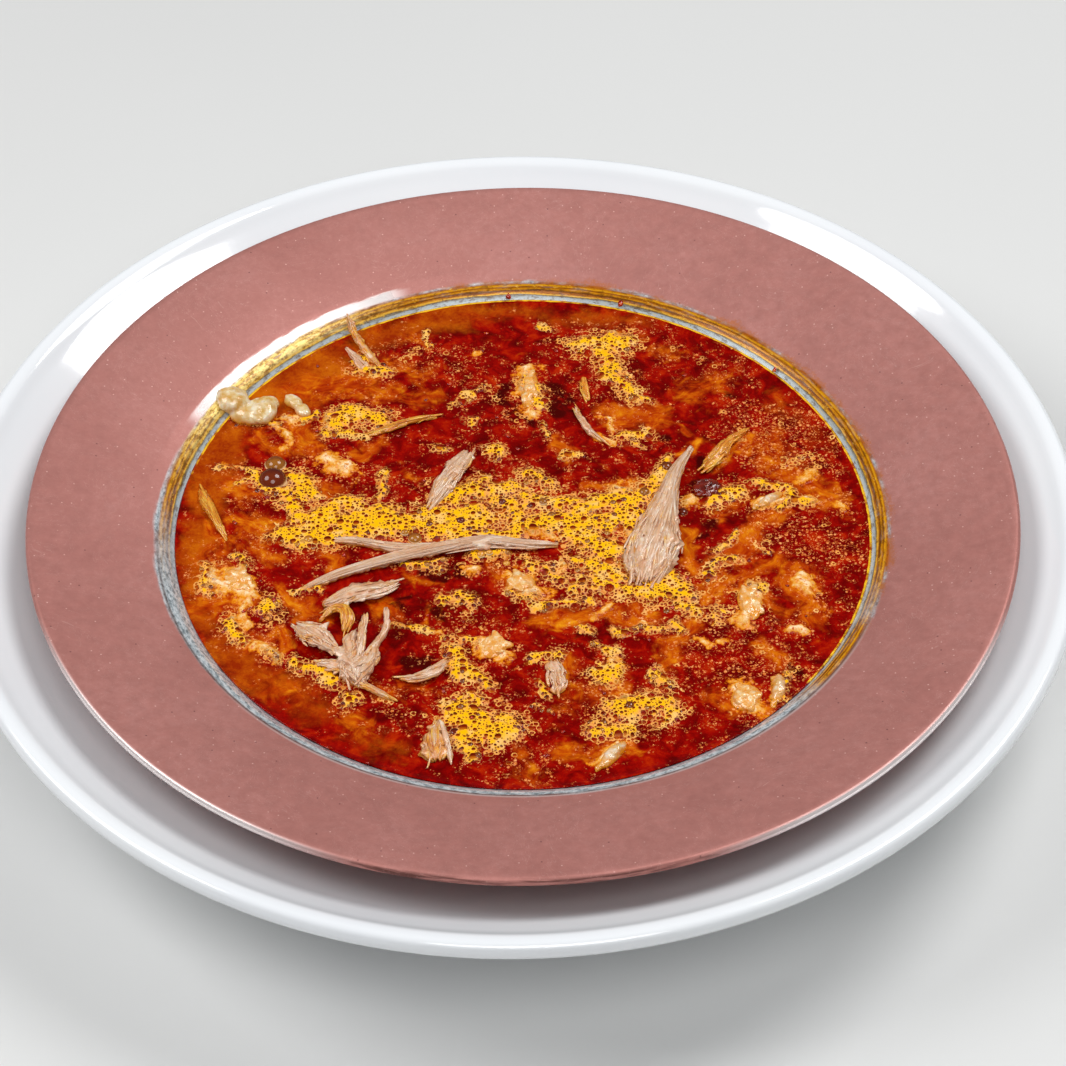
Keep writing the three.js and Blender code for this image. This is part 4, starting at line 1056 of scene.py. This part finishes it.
def strip_body(strip, seed, tint, ragged, sides):
    """The strip itself, with lengthwise ridges and creases, torn ends and an uneven outline."""
    count, length, widest = len(strip.spine), strip.length, strip.widest
    t, a = np.meshgrid(np.linspace(0, 1, count), round_angles(sides), indexing="ij")
    turn, lane = a / (2 * math.pi), np.cos(a) * widest
    girth = 1.6 * widest
    tear = TORN * (grain_noise(lane, 0 * lane, 0.9, seed + 9) - 0.35) / length
    reach = np.clip(0.5 + (t - 0.5) * (1 - 2 * tear), 0, 1)
    ridge = fractal(turn * girth * 2.2, t * length * 0.25, 1.0, seed + 1) - 0.5
    crease = np.abs(grain_noise(turn * girth * 1.5, t * length * 0.16, 1.0, seed + 5) - 0.5)
    rough = fractal(t * length, np.sign(np.cos(a)) * 5, 1.5, seed + 7, 4) - 0.5
    outline = 1 + 2.4 * ragged * rough * np.abs(np.cos(a))
    swell = outline + 0.42 * ridge - 0.32 * (1 - smooth(0.0, 0.10, crease))
    # Painted shade for the lamb: strongest in the creases, none on the ridges.
    painted_shade = np.clip(1 - smooth(0.0, 0.13, crease) - 1.6 * ridge, 0, 1)
    taper = np.clip(np.minimum(t, 1 - t) * length / max(0.5, 0.35 * widest), 0, 1)
    rounded = 0.22 + 0.78 * np.sqrt(np.clip(1 - (1 - taper) ** 2, 0, 1))
    spine, side, over, half_width, half_depth = (read_between(values, reach) for values in (
        strip.spine, strip.side, strip.over, strip.half_width, strip.half_depth))
    u = half_width * np.maximum(rounded, 0.5) * swell * np.cos(a)
    v = half_depth * rounded * (0.4 + 0.6 * swell + 0.5 * ridge) * np.sin(a)
    vertices = (spine + side * u[..., None] + over * v[..., None]).reshape(-1, 3)
    grain = np.stack([t * length, turn * girth, np.full_like(t, seed % 17)], axis=-1).reshape(-1, 3) * MM
    return vertices, closed_tube(count, sides), {
        "grain": grain,
        "height": vertices[:, 2],
        "tint": np.full(len(vertices), tint),
        "painted_shade": painted_shade.ravel(),
    }


def loose_fibre(strip, tint, rng):
    """A thin thread that lies on the strip and sticks out at its ends."""
    sides = 6
    start = rng.uniform(-0.12, 0.7)
    stop = start + rng.uniform(0.2, 0.6)
    steps = max(8, int((stop - start) * strip.length * 1.8))
    course, wanted = np.linspace(-1, 1, steps), np.linspace(start, stop, steps)
    place = np.clip(wanted, 0, 1)
    beyond = np.clip((wanted - place) * strip.length, -1.6, 1.6)
    middle, drift, bow = rng.uniform(-1.0, 1.0), rng.uniform(-0.3, 0.3), rng.uniform(-0.25, 0.25)
    offset = middle + drift * course + bow * course ** 2
    spine, along, side, over, half_width, half_depth = (read_between(values, place) for values in strip[:6])
    lift = rng.uniform(-0.1, 0.05) + 0.3 * rng.random() * np.linspace(0, 1, steps) ** 4
    rise = np.sqrt(np.clip(1 - offset ** 2, 0, 1)) * half_depth * 0.92 + lift
    centre = spine + along * beyond[:, None] + side * (offset * half_width)[:, None] + over * rise[:, None]
    thin = (rng.uniform(0.10, 0.28) * np.sqrt(np.clip(1 - course ** 4, 0.01, 1)))[:, None]
    angle = round_angles(sides)
    across, up = (1.6 * thin * np.cos(angle))[..., None], (thin * np.sin(angle))[..., None]
    vertices = (centre[:, None] + side[:, None] * across + over[:, None] * up).reshape(-1, 3)
    grain = np.column_stack([
        np.repeat(place * strip.length, sides), np.tile(angle * 0.2, steps) + rng.random() * 9,
        np.zeros(len(vertices))]) * MM
    return vertices, closed_tube(steps, sides), {
        "grain": grain,
        "height": vertices[:, 2],
        "tint": np.full(len(vertices), tint + rng.uniform(-0.1, 0.25)),
        # A random amount of painted shade for each thread.
        "painted_shade": np.full(len(vertices), 0.5 * rng.random() ** 2),
    }


def shred(path, width, depth, seed, tint=0.0, ragged=0.6, fibres=14, sides=32):
    """A strip of meat with its loose fibres: vertices, faces and layers."""
    rng = np.random.default_rng(seed)
    strip = strip_shape(path, width, depth)
    body = strip_body(strip, seed, tint, ragged, sides)
    return joined([body, *(loose_fibre(strip, tint, rng) for _ in range(fibres))])


LAMB = {
    "lamb_long_strand": [
        dict(path=[[-50, -19.6, 0], [-41, -15, 0.6], [-30, -11, 1], [-18, -7.7, 1.3], [-8, -6, 1.3], [0,
             -6.8, 1], [6, -6.2, 0.2]], width=[1.3, 2.4, 2.6, 3.2, 3.4, 2.6, 1.4], depth=[1.2, 2, 2.2, 2.4,
             2.4, 2, 1.2], fibres=34, tint=-0.3),
        dict(path=[[-42, -3.8, 0.1], [-36, -4.7, 0.5], [-29, -7, 0.8], [-21, -7.4, 1], [-14, -6.6, 1.1]],
             width=[1.4, 2, 2.4, 2.2, 1.8], depth=[1.2, 1.8, 2, 2, 1.6], fibres=18, tint=-0.2),
    ],
    "lamb_wedge": [
        dict(path=[[38, 20.8, 2.6], [35, 15, 2.3], [32.8, 8, 1.9], [31, 0.5, 1.6], [29.2, -7, 1.4], [27.4,
             -13.5, 1], [26, -18.6, 0.4]], width=[1, 2.6, 4.2, 8, 11.6, 10.4, 6], depth=[1.2, 2.4, 3.2, 4,
             4.2, 3.4, 2], fibres=90, sides=72, ragged=0.18),
    ],
    "lamb_right_strand": [
        dict(path=[[52, 30.5, 0.2], [47.5, 25.6, 0.9], [44.4, 20.8, 1.1], [41.4, 17.6, 0.4]], width=[1.2,
             2.4, 3.4, 2], depth=[1, 1.8, 2, 1.4], tint=0.55),
    ],
    "lamb_flat_strip": [
        dict(path=[[-44, -24.4, 0.3], [-38.5, -22, 1.1], [-32.4, -20.3, 1.3], [-27.8, -18, 0.9]],
             width=[2.4, 4.6, 4.6, 1.6], depth=[1.2, 1.8, 1.8, 1.2], fibres=24),
    ],
    "lamb_leaf": [
        dict(path=[[-49.3, -30.8, 1.2], [-45.6, -34.4, 2.3], [-41, -38.6, 1.6]], width=[2.6, 6.4, 3.4],
             depth=[1.2, 2, 1.6], fibres=40, sides=40),
    ],
    "lamb_curl": [
        dict(path=[[-44.8, -28.8, 0.2], [-42, -26.4, 1.5], [-39.6, -27.1, 2.3], [-38.4, -29.8, 2.2], [-38.9,
             -32.8, 1]], width=[0.9, 1.6, 2.4, 2.8, 1.6], depth=[0.8, 1.2, 1.4, 1.4, 1], tint=0.9),
    ],
    "lamb_knot": [
        dict(path=[[-38.6, -38.4, 0.5], [-36.9, -43, 0.9], [-35.6, -47.6, 0.4]], width=[4, 7, 5], depth=[3,
             4.4, 3], fibres=50, sides=48, tint=-0.1),
        dict(path=[[-36.6, -33, 1], [-37.8, -37, 1.8], [-37.2, -42.6, 1.9]], width=[2.2, 3.2, 3],
             depth=[1.2, 1.8, 1.8]),
        dict(path=[[-34.5, -30.8, 4.2], [-35, -35.4, 3], [-35.8, -41, 1.8]], width=[1.2, 1.8, 2], depth=[1,
             1.6, 1.6]),
        dict(path=[[-30, -28, 3.6], [-29.9, -33, 3], [-32, -37.6, 2.2], [-34.4, -41.4, 1.8]], width=[0.9,
             1.6, 1.8, 1.8], depth=[0.8, 1.4, 1.6, 1.6], fibres=5),
        dict(path=[[-32.6, -38, 2], [-33, -43, 2.3], [-36.4, -47.4, 1]], width=[1.6, 2.8, 2.2], depth=[1.2,
             2, 1.6]),
        dict(path=[[-45, -41.2, 0.4], [-41.6, -42.6, 1.1], [-37.6, -44.2, 1.2]], width=[1.6, 3, 2.8],
             depth=[1, 1.6, 1.6]),
        dict(path=[[-36.4, -46.8, 0.6], [-33, -49.2, 0.7], [-28.2, -52, 0.1]], width=[1.8, 1.6, 1.2],
             depth=[1.4, 1.2, 0.8], fibres=8, tint=0.2),
        dict(path=[[-42.6, -37.6, 1.2], [-40.2, -39.6, 2.0], [-37.4, -41.4, 2.2]], width=[1.6, 3.0, 2.2],
             depth=[0.7, 1.0, 0.8]),
        dict(path=[[-39.4, -46.4, 1.0], [-36.4, -44.2, 2.5], [-33.4, -41.8, 2.9]], width=[1.2, 2.4, 1.0],
             depth=[0.7, 0.9, 0.6]),
        dict(path=[[-35.6, -48.2, 0.8], [-34.2, -45.2, 2.1], [-33.8, -42, 2.6]], width=[1.0, 2.0, 0.9],
             depth=[0.6, 0.9, 0.6]),
        dict(path=[[-40.6, -44.6, 1.1], [-37.8, -42.2, 2.5], [-36.6, -39.2, 2.7]], width=[0.9, 1.8, 0.9],
             depth=[0.6, 0.9, 0.6]),
        dict(path=[[-34.2, -45.0, 1.3], [-32.2, -42.8, 2.2], [-31.4, -40.4, 2.2]], width=[1.0, 1.6, 0.7],
             depth=[0.6, 0.8, 0.5]),
    ],
    "lamb_slab": [
        dict(path=[[-12, 24.2, 0.6], [-14.8, 18.6, 1.1], [-18, 12.6, 1], [-20.8, 6.5, 0.2]], width=[2.8,
             4.8, 4.4, 2], depth=[1.2, 2, 2, 1.2], fibres=44),
    ],
    "lamb_crescent": [
        dict(path=[[-16.8, -41, 0.2], [-19.2, -44.3, 0.8], [-22.8, -46.6, 0.9], [-27, -46, 0.2]],
             width=[1.4, 2.8, 2.4, 1], depth=[1, 1.4, 1.4, 0.8]),
    ],
    "lamb_triangle": [
        dict(path=[[-18.6, -58, 0.2], [-19, -63.4, 0.8], [-18.4, -69.8, 0.2]], width=[1.4, 5, 6.4],
             depth=[1, 1.4, 1.2], tint=0.25),
        dict(path=[[-18.2, -58.6, 0.8], [-16.8, -64, 1.3], [-15.6, -70.2, 0.3]], width=[0.9, 1.3, 1],
             depth=[0.9, 1.2, 0.9], fibres=3),
    ],
    "lamb_small_slab": [
        dict(path=[[6.2, -41.4, 0.2], [6.8, -46, 0.8], [7.1, -51.2, 0.2]], width=[3.4, 4.6, 2.8],
             depth=[1.2, 1.6, 1.2]),
    ],
    "lamb_wall_strand": [
        dict(path=[[-40.9, 68.6, 3.6], [-39.8, 66, 1.7], [-38.2, 62.4, 1], [-36.2, 58.4, 0.7], [-34, 55.4,
             0]], width=[1.2, 1.8, 1.8, 1.8, 1.2], depth=[1, 1.2, 1.2, 1.2, 1], tint=0.3),
    ],
    "lamb_spike": [
        dict(path=[[-41.6, 59.4, 2.2], [-39.2, 56.6, 1.3], [-36.4, 53.6, 0.1]], width=[0.8, 2.2, 2.8],
             depth=[0.7, 1.2, 1.2], fibres=4),
    ],
    "lamb_left_strand": [
        dict(path=[[-73.2, 13.4, 0.1], [-71.4, 8, 0.5], [-69, 2.6, 0.5], [-66.8, -1.6, 0]], width=[1.6, 2.4,
             1.8, 1], depth=[1, 1.4, 1.2, 0.8], tint=0.6),
    ],
    "lamb_middle_strand": [
        dict(path=[[-36, 30.8, 0], [-30.5, 32.8, 0.5], [-25, 35.2, 0.6], [-19.8, 36.8, 0.1]], width=[1.2,
             1.9, 1.8, 1], depth=[0.9, 1.3, 1.2, 0.8], tint=0.75),
    ],
    "lamb_thin_strand": [
        dict(path=[[12.4, 39.4, 0.1], [14, 34.4, 0.8], [15.8, 30.4, 0.9], [19.2, 27.2, 0.1]], width=[1, 1.4,
             2, 1], depth=[0.9, 1.2, 1.3, 0.8], fibres=5),
    ],
    "lamb_back_strip": [
        dict(path=[[14.6, 50, 0.1], [14.9, 46, 0.6], [15.7, 41.6, 0.1]], width=[1, 2.2, 1.2], depth=[0.8,
             1.2, 0.8], tint=0.5, fibres=4),
    ],
}


def make_lamb():
    material = meat()
    for number, (node, strips) in enumerate(LAMB.items()):
        parts = [shred(seed=100 + 20 * number + i, **strip) for i, strip in enumerate(strips)]
        vertices, faces, layers = joined(parts)
        add_piece(node.replace("lamb", "shred"), vertices, faces, material, [node], layers)


# ------------------------------------------------------------------ soft lumps


def ball(radii, rows=14, columns=20):
    """A ball stretched to radii along x, y and z."""
    lean = np.linspace(0, math.pi, rows + 1)[1:-1]
    rings = stacked_rings(np.sin(lean), np.cos(lean), columns)
    vertices = np.concatenate([rings, [[0, 0, 1], [0, 0, -1]]]) * np.array(radii)
    top, bottom = len(rings), len(rings) + 1
    faces = flipped(grid_faces(rows - 1, columns)) + fan(top, 0, columns)
    return vertices, faces + flipped(fan(bottom, top - columns, columns))


def rotated(vertices, turn, tilt=0.0):
    """Vertices tilted up at one end, then turned about Z, in degrees."""
    turn, tilt = math.radians(turn), math.radians(tilt)
    up = np.array([[math.cos(tilt), 0, -math.sin(tilt)], [0, 1, 0], [math.sin(tilt), 0, math.cos(tilt)]])
    about = np.array([[math.cos(turn), -math.sin(turn), 0], [math.sin(turn), math.cos(turn), 0], [0, 0, 1]])
    return vertices @ up.T @ about.T


def lump(at, radii, turn=0.0, seed=0, wobble=0.15):
    """An uneven soft ball."""
    vertices, faces = ball(radii, 22, 30)
    unit = vertices / np.array(radii)
    bend = fractal(unit[:, 0] * 3 + 9, unit[:, 1] * 3 + unit[:, 2] * 2 + 9, 1.6, seed) - 0.5
    return rotated(vertices * (1 + 2 * wobble * bend)[:, None], turn) + np.array(at), faces, {}


def melted(parts, voxel, rounds):
    """Balls and grains melted into one soft lump: vertices and faces."""
    vertices, faces, _ = joined(parts)
    mesh = bpy.data.meshes.new("soft")
    mesh.from_pydata(vertices.tolist(), [], faces)
    scratch = bpy.data.objects.new("soft", mesh)
    bpy.context.collection.objects.link(scratch)
    remesh = scratch.modifiers.new("melt", "REMESH")
    remesh.mode = "VOXEL"
    remesh.voxel_size = voxel
    soften = scratch.modifiers.new("soften", "SMOOTH")
    soften.factor = 0.5
    soften.iterations = rounds
    evaluated = scratch.evaluated_get(bpy.context.evaluated_depsgraph_get())
    result = evaluated.to_mesh()
    points = np.empty(len(result.vertices) * 3)
    result.vertices.foreach_get("co", points)
    polygons = [list(polygon.vertices) for polygon in result.polygons]
    evaluated.to_mesh_clear()
    bpy.data.objects.remove(scratch)
    return points.reshape(-1, 3), polygons


def spot_in_disc(rng):
    """A random spot in a disc of radius 1: x, y and its distance from the middle."""
    angle, reach = rng.uniform(0, 2 * math.pi), math.sqrt(rng.random())
    return reach * math.cos(angle), reach * math.sin(angle), reach


# ------------------------------------------------------------------ rice and fat

RICE_CLUMPS = {
    "rice_clump_right": dict(at=(49.2, -25, 0.3), radii=(6.2, 3, 1.9), turn=98, grains=9),
    "rice_clump_corner": dict(at=(46.8, -53, 0.2), radii=(4.6, 3.8, 2), turn=60, grains=8),
    "rice_clump_centre": dict(at=(-0.4, -17.8, 0.3), radii=(4, 3.2, 1.9), turn=-40, grains=7),
    "rice_clump_front": dict(at=(-6.8, -37, 0.3), radii=(4.2, 3.4, 1.9), turn=70, grains=8),
    "rice_clump_back": dict(at=(2, 45.4, 0.2), radii=(7.6, 2.4, 1.6), turn=84, grains=9),
    "rice_clump_left": dict(at=(-62.6, -15.6, 0.2), radii=(6, 3, 1.6), turn=-52, grains=9),
}
RICE_GRAINS = {
    "rice_grain_right": dict(at=(55.8, 7.2, 0.1), length=7.6, width=3.0, turn=38, bend=0.3),
    "rice_grain_front": dict(at=(18, -68.6, 0.1), length=9, width=3.2, turn=52, bend=-0.3),
    "rice_grain_edge": dict(at=(53.8, -50.6, 0.1), length=9, width=3.0, turn=80, bend=0.4),
}
CLUMP_SQUASH = 0.66


def rice_grain(at, length, width, turn, tilt=0.0, bend=0.0):
    """One cooked grain: long, slightly bent and blunt at its ends."""
    vertices, faces = ball((length / 2, width / 2, width * 0.46), 16, 16)
    x = vertices[:, 0] / (length / 2)
    vertices[:, 1] += bend * (x ** 2 - 0.4)
    vertices[:, 2] *= 1 + 0.08 * np.sin(5 * x)
    return rotated(vertices, turn, tilt) + np.array(at), faces, {}


def unevenness(vertices, cell, seed):
    return fractal(vertices[:, 0], vertices[:, 1] + vertices[:, 2], cell, seed) - 0.5


def rice_clump(at, radii, turn, grains, seed):
    """Swollen grains round a soft core, melted together."""
    rng = np.random.default_rng(seed)
    at, radii = np.array(at), np.array(radii)
    core, core_faces = ball(radii * 0.85)
    parts = [(rotated(core, turn) + at - [0, 0, 0.2], core_faces, {})]
    for _ in range(grains):
        x, y, reach = spot_in_disc(rng)
        x, y, reach = 0.72 * x, 0.72 * y, 0.72 * reach
        rise = radii[2] * (0.62 - 0.55 * reach ** 2)
        spot = rotated(radii * [x, y, 0], turn) + at + [0, 0, rise]
        parts.append(rice_grain(spot, rng.uniform(3.2, 5.2), rng.uniform(1.5, 2.2), turn + rng.normal(0, 45),
                                rng.normal(0, 8), rng.uniform(-0.3, 0.3)))
    vertices, faces = melted(parts, 0.22, 12)
    uneven = unevenness(vertices, 1.4, seed)
    vertices[:, 2] = vertices[:, 2] * CLUMP_SQUASH + 0.5 * uneven
    return vertices, faces


def burst_grain(at, length, width, turn, bend, seed):
    """A single grain, soft and swollen out of shape, with crumbs stuck to it."""
    rng = np.random.default_rng(seed)
    parts = [rice_grain(at, length, width, turn, 0, bend)]
    for _ in range(7):
        along = rng.uniform(-0.5, 0.5) * length
        across = rng.choice([-1, 1]) * rng.uniform(0.1, 0.42) * width
        spot = rotated(np.array([along, across * (1 - abs(along) / length), 0]), turn) + np.array(at)
        parts.append(lump(spot, rng.uniform(0.6, 1.3, 3) * [1.3, 1, 0.6], turn, int(rng.integers(99)), 0.3))
    vertices, faces = melted(parts, 0.2, 4)
    return vertices + unevenness(vertices, 1.2, seed)[:, None] * [0.3, 0.3, 0.7], faces


def make_rice():
    clump_look = soft_food("rice", (0.80, 0.32, 0.04), (0.86, 0.50, 0.18), (0.92, 0.72, 0.44),
                           (0.84, 0.30, 0.008), stained=-1.15)
    grain_look = soft_food("rice_grain", (0.66, 0.36, 0.10), (0.76, 0.58, 0.36), (0.86, 0.79, 0.68),
                           (0.78, 0.30, 0.01), roughness=0.15, size=2.0, stained=-1.0)
    for number, (node, clump) in enumerate(RICE_CLUMPS.items()):
        vertices, faces = rice_clump(seed=300 + number, **clump)
        add_food(node.replace("rice_", "swollen_"), vertices, faces, clump_look, "rice", node)
    for node, grain in RICE_GRAINS.items():
        vertices, faces = burst_grain(seed=400 + len(node), **grain)
        add_food(node.replace("rice_", "swollen_"), vertices, faces, grain_look, "rice", node)


def make_fat():
    """The lump draped over the wall, and the drop that floats beside it."""
    material = soft_food("fat", (0.66, 0.36, 0.08), (0.76, 0.56, 0.28), (0.88, 0.78, 0.58),
                         (0.70, 0.28, 0.008), roughness=0.10, subsurface=0.4, size=2.6, stained=-1.0)
    draped = [
        lump((-67.4, 41, 2.6), (4, 3.6, 2.5), 120, 1), lump((-60.6, 38.6, 1.1), (4.6, 3.8, 2.4), 70, 2),
        lump((-64, 37.8, 0.9), (4.4, 3, 2), 150, 3), lump((-58.6, 41.2, 1.0), (2.2, 2.0, 1.8), 20, 4),
    ]
    vertices, faces = melted(draped, 0.25, 8)
    x, y, z = vertices.T
    push = fractal(x + 1.3 * z, y + 0.6 * z, 2.0, 61, 4) - 0.5
    vertices = vertices + push[:, None] * [0.5, 0.5, 0.7]
    add_food("fat_draped_over_wall", vertices, faces, material, "fat", "fat_over_wall")
    drop = [lump((-53.2, 41.8, 0.9), (2.7, 1.8, 1.5), -46, 5),
            lump((-51, 38.8, 0.7), (2.4, 1.7, 1.4), -60, 6)]
    add_food("fat_floating_drop", *melted(drop, 0.2, 4), material, "fat", "fat_drop")


# ------------------------------------------------------------------ chilli

CHILLI_X, CHILLI_Y = 41.6, 11.2
# Flakes that stick to the well's wall: direction in degrees, height above the soup and size
WALL_FLAKES = [
    (72, 1.3, 1.0), (92, 1.1, 0.9), (238, 1.2, 1.0), (245, 1.0, 0.7), (150, 1.6, 0.7), (40, 1.0, 0.8),
]


def chilli_beads(rng):
    """The dark clump of chilli with its beads of oil."""
    beads = [lump((CHILLI_X, CHILLI_Y, 0.3), (3.2, 2.8, 1.3), 30, 7, 0.25)]
    for _ in range(26):
        x, y, reach = spot_in_disc(rng)
        size = rng.uniform(0.35, 0.8)
        spot = (CHILLI_X + 2.9 * x, CHILLI_Y + 2.5 * y, 0.5 + 1.1 * (1 - reach ** 2))
        beads.append(lump(spot, (size, size * 0.9, size * 0.8), 0, int(size * 100)))
    return joined(beads)


def flake(at, size, turn, tilt, rng):
    """A small bent scrap of chilli skin."""
    corners = 9
    angle = round_angles(corners)
    reach = size * rng.uniform(0.6, 1.1, corners)
    bend = 0.14 + 0.1 * np.cos(2 * angle)
    top = np.column_stack([reach * np.cos(angle), 0.75 * reach * np.sin(angle), bend])
    bottom = top * [0.9, 0.9, 1] - [0, 0, 0.22]
    vertices = np.concatenate([top, bottom, [[0, 0, 0.2], [0, 0, -0.1]]])
    upper, lower = 2 * corners, 2 * corners + 1
    faces = fan(upper, 0, corners) + flipped(fan(lower, corners, corners)) + flipped(grid_faces(2, corners))
    return rotated(vertices, turn, tilt) + np.array(at), faces, {}


def chilli_flakes(rng):
    """Flakes on the well's wall and in the froth."""
    flakes = []
    for angle, height, size in WALL_FLAKES:
        reach, way = SOUP_RADIUS + height * WALL_SLOPE - 0.35, math.radians(angle)
        place = (reach * math.cos(way), reach * math.sin(way), height + 0.3)
        flakes.append(flake(place, size, angle, 38, rng))
    for _ in range(70):
        x, y, _ = spot_in_disc(rng)
        x, y = 0.96 * SOUP_RADIUS * x, 0.96 * SOUP_RADIUS * y
        place = (x, y, height_at(x, y) + 0.05)
        flakes.append(flake(place, rng.uniform(0.35, 0.9), rng.uniform(0, 360), rng.uniform(-8, 8), rng))
    return joined(flakes)


def make_chilli():
    rng = np.random.default_rng(9)
    dark = soft_food("dark_chilli", (0.05, 0.003, 0.001), (0.11, 0.006, 0.001), (0.26, 0.02, 0.003),
                     (0.20, 0.008, 0.001), roughness=0.12, subsurface=0.0)
    vertices, faces, _ = chilli_beads(rng)
    add_food("chilli_beads", vertices, faces, dark, "chilli", "chilli_clump")
    vertices, faces, _ = chilli_flakes(rng)
    add_piece("chilli_flakes", vertices, faces, chilli_skin())


# ------------------------------------------------------------------ floor, light and camera

CAMERA_ELEVATION = 43.876
CAMERA_DISTANCE = 691.3
CAMERA_ROLL = -0.663
CAMERA_TARGET = (2.14, -12.32, 0.0)  # from the middle of the dish's upper edge
FOCAL_PIXELS = 3111
PHOTO_PIXELS = 1066
SENSOR = 36.0
FLOOR_HALF = 3.0
DAYLIGHT = (0.90, 0.95, 1.0, 1)
# Name, direction, distance, size and power, in metres and watts
LIGHTS = [
    ("light_right", (0.46, 0.27, 0.84), 1.0, 0.50, 5.3),
    ("light_left", (-0.66, 0.02, 0.75), 1.0, 0.55, 4.6),
    ("light_front", (0.05, -0.60, 0.80), 1.2, 0.66, 4.8),
]


def make_camera():
    elevation, roll = math.radians(CAMERA_ELEVATION), math.radians(CAMERA_ROLL)
    place = Vector((0, -math.cos(elevation), math.sin(elevation))) * CAMERA_DISTANCE
    forward = (Vector(CAMERA_TARGET) - place).normalized()
    right = forward.cross(Vector((0, 0, 1))).normalized()
    up = right.cross(forward)
    turned_right = right * math.cos(roll) + up * math.sin(roll)
    turned_up = up * math.cos(roll) - right * math.sin(roll)
    camera = bpy.data.objects.new("camera", bpy.data.cameras.new("camera"))
    camera.data.sensor_width = SENSOR
    camera.data.lens = FOCAL_PIXELS / PHOTO_PIXELS * SENSOR
    camera.data.clip_start, camera.data.clip_end = 0.01, 20
    axes = Matrix((turned_right, turned_up, -forward)).transposed()
    camera.matrix_world = Matrix.Translation((place + Vector((DISH_X, 0, DISH_EDGE))) * MM) @ axes.to_4x4()
    bpy.context.collection.objects.link(camera)
    bpy.context.scene.camera = camera


def add_light(name, direction, distance, size, watts):
    """A soft round light that looks at the soup."""
    light = bpy.data.lights.new(name, "AREA")
    light.shape = "DISK"
    light.size = size
    light.energy = watts
    lamp = bpy.data.objects.new(name, light)
    toward = Vector(direction).normalized()
    lamp.location = toward * distance + Vector((0, 0, SOUP_LEVEL * MM))
    lamp.rotation_euler = toward.to_track_quat("Z", "Y").to_euler()
    bpy.context.collection.objects.link(lamp)


def make_stage():
    mesh = bpy.data.meshes.new("floor")
    corners = [(x * FLOOR_HALF, y * FLOOR_HALF, 0) for x, y in ((-1, -1), (1, -1), (1, 1), (-1, 1))]
    mesh.from_pydata(corners, [], [(0, 1, 2, 3)])
    mesh.materials.append(pale_floor())
    floor = bpy.data.objects.new("floor", mesh)
    bpy.context.collection.objects.link(floor)
    world = bpy.data.worlds.new("studio")
    bpy.context.scene.world = world
    world.use_nodes = True
    background = world.node_tree.nodes["Background"]
    background.inputs["Color"].default_value = DAYLIGHT
    background.inputs["Strength"].default_value = 0.13
    for light in LIGHTS:
        add_light(*light)


make_camera()
make_stage()
bpy.context.scene.view_settings.view_transform = "Standard"
make_plate()
make_dish()
make_soup()
make_bubbles()
make_lamb()
make_rice()
make_fat()
make_chilli()
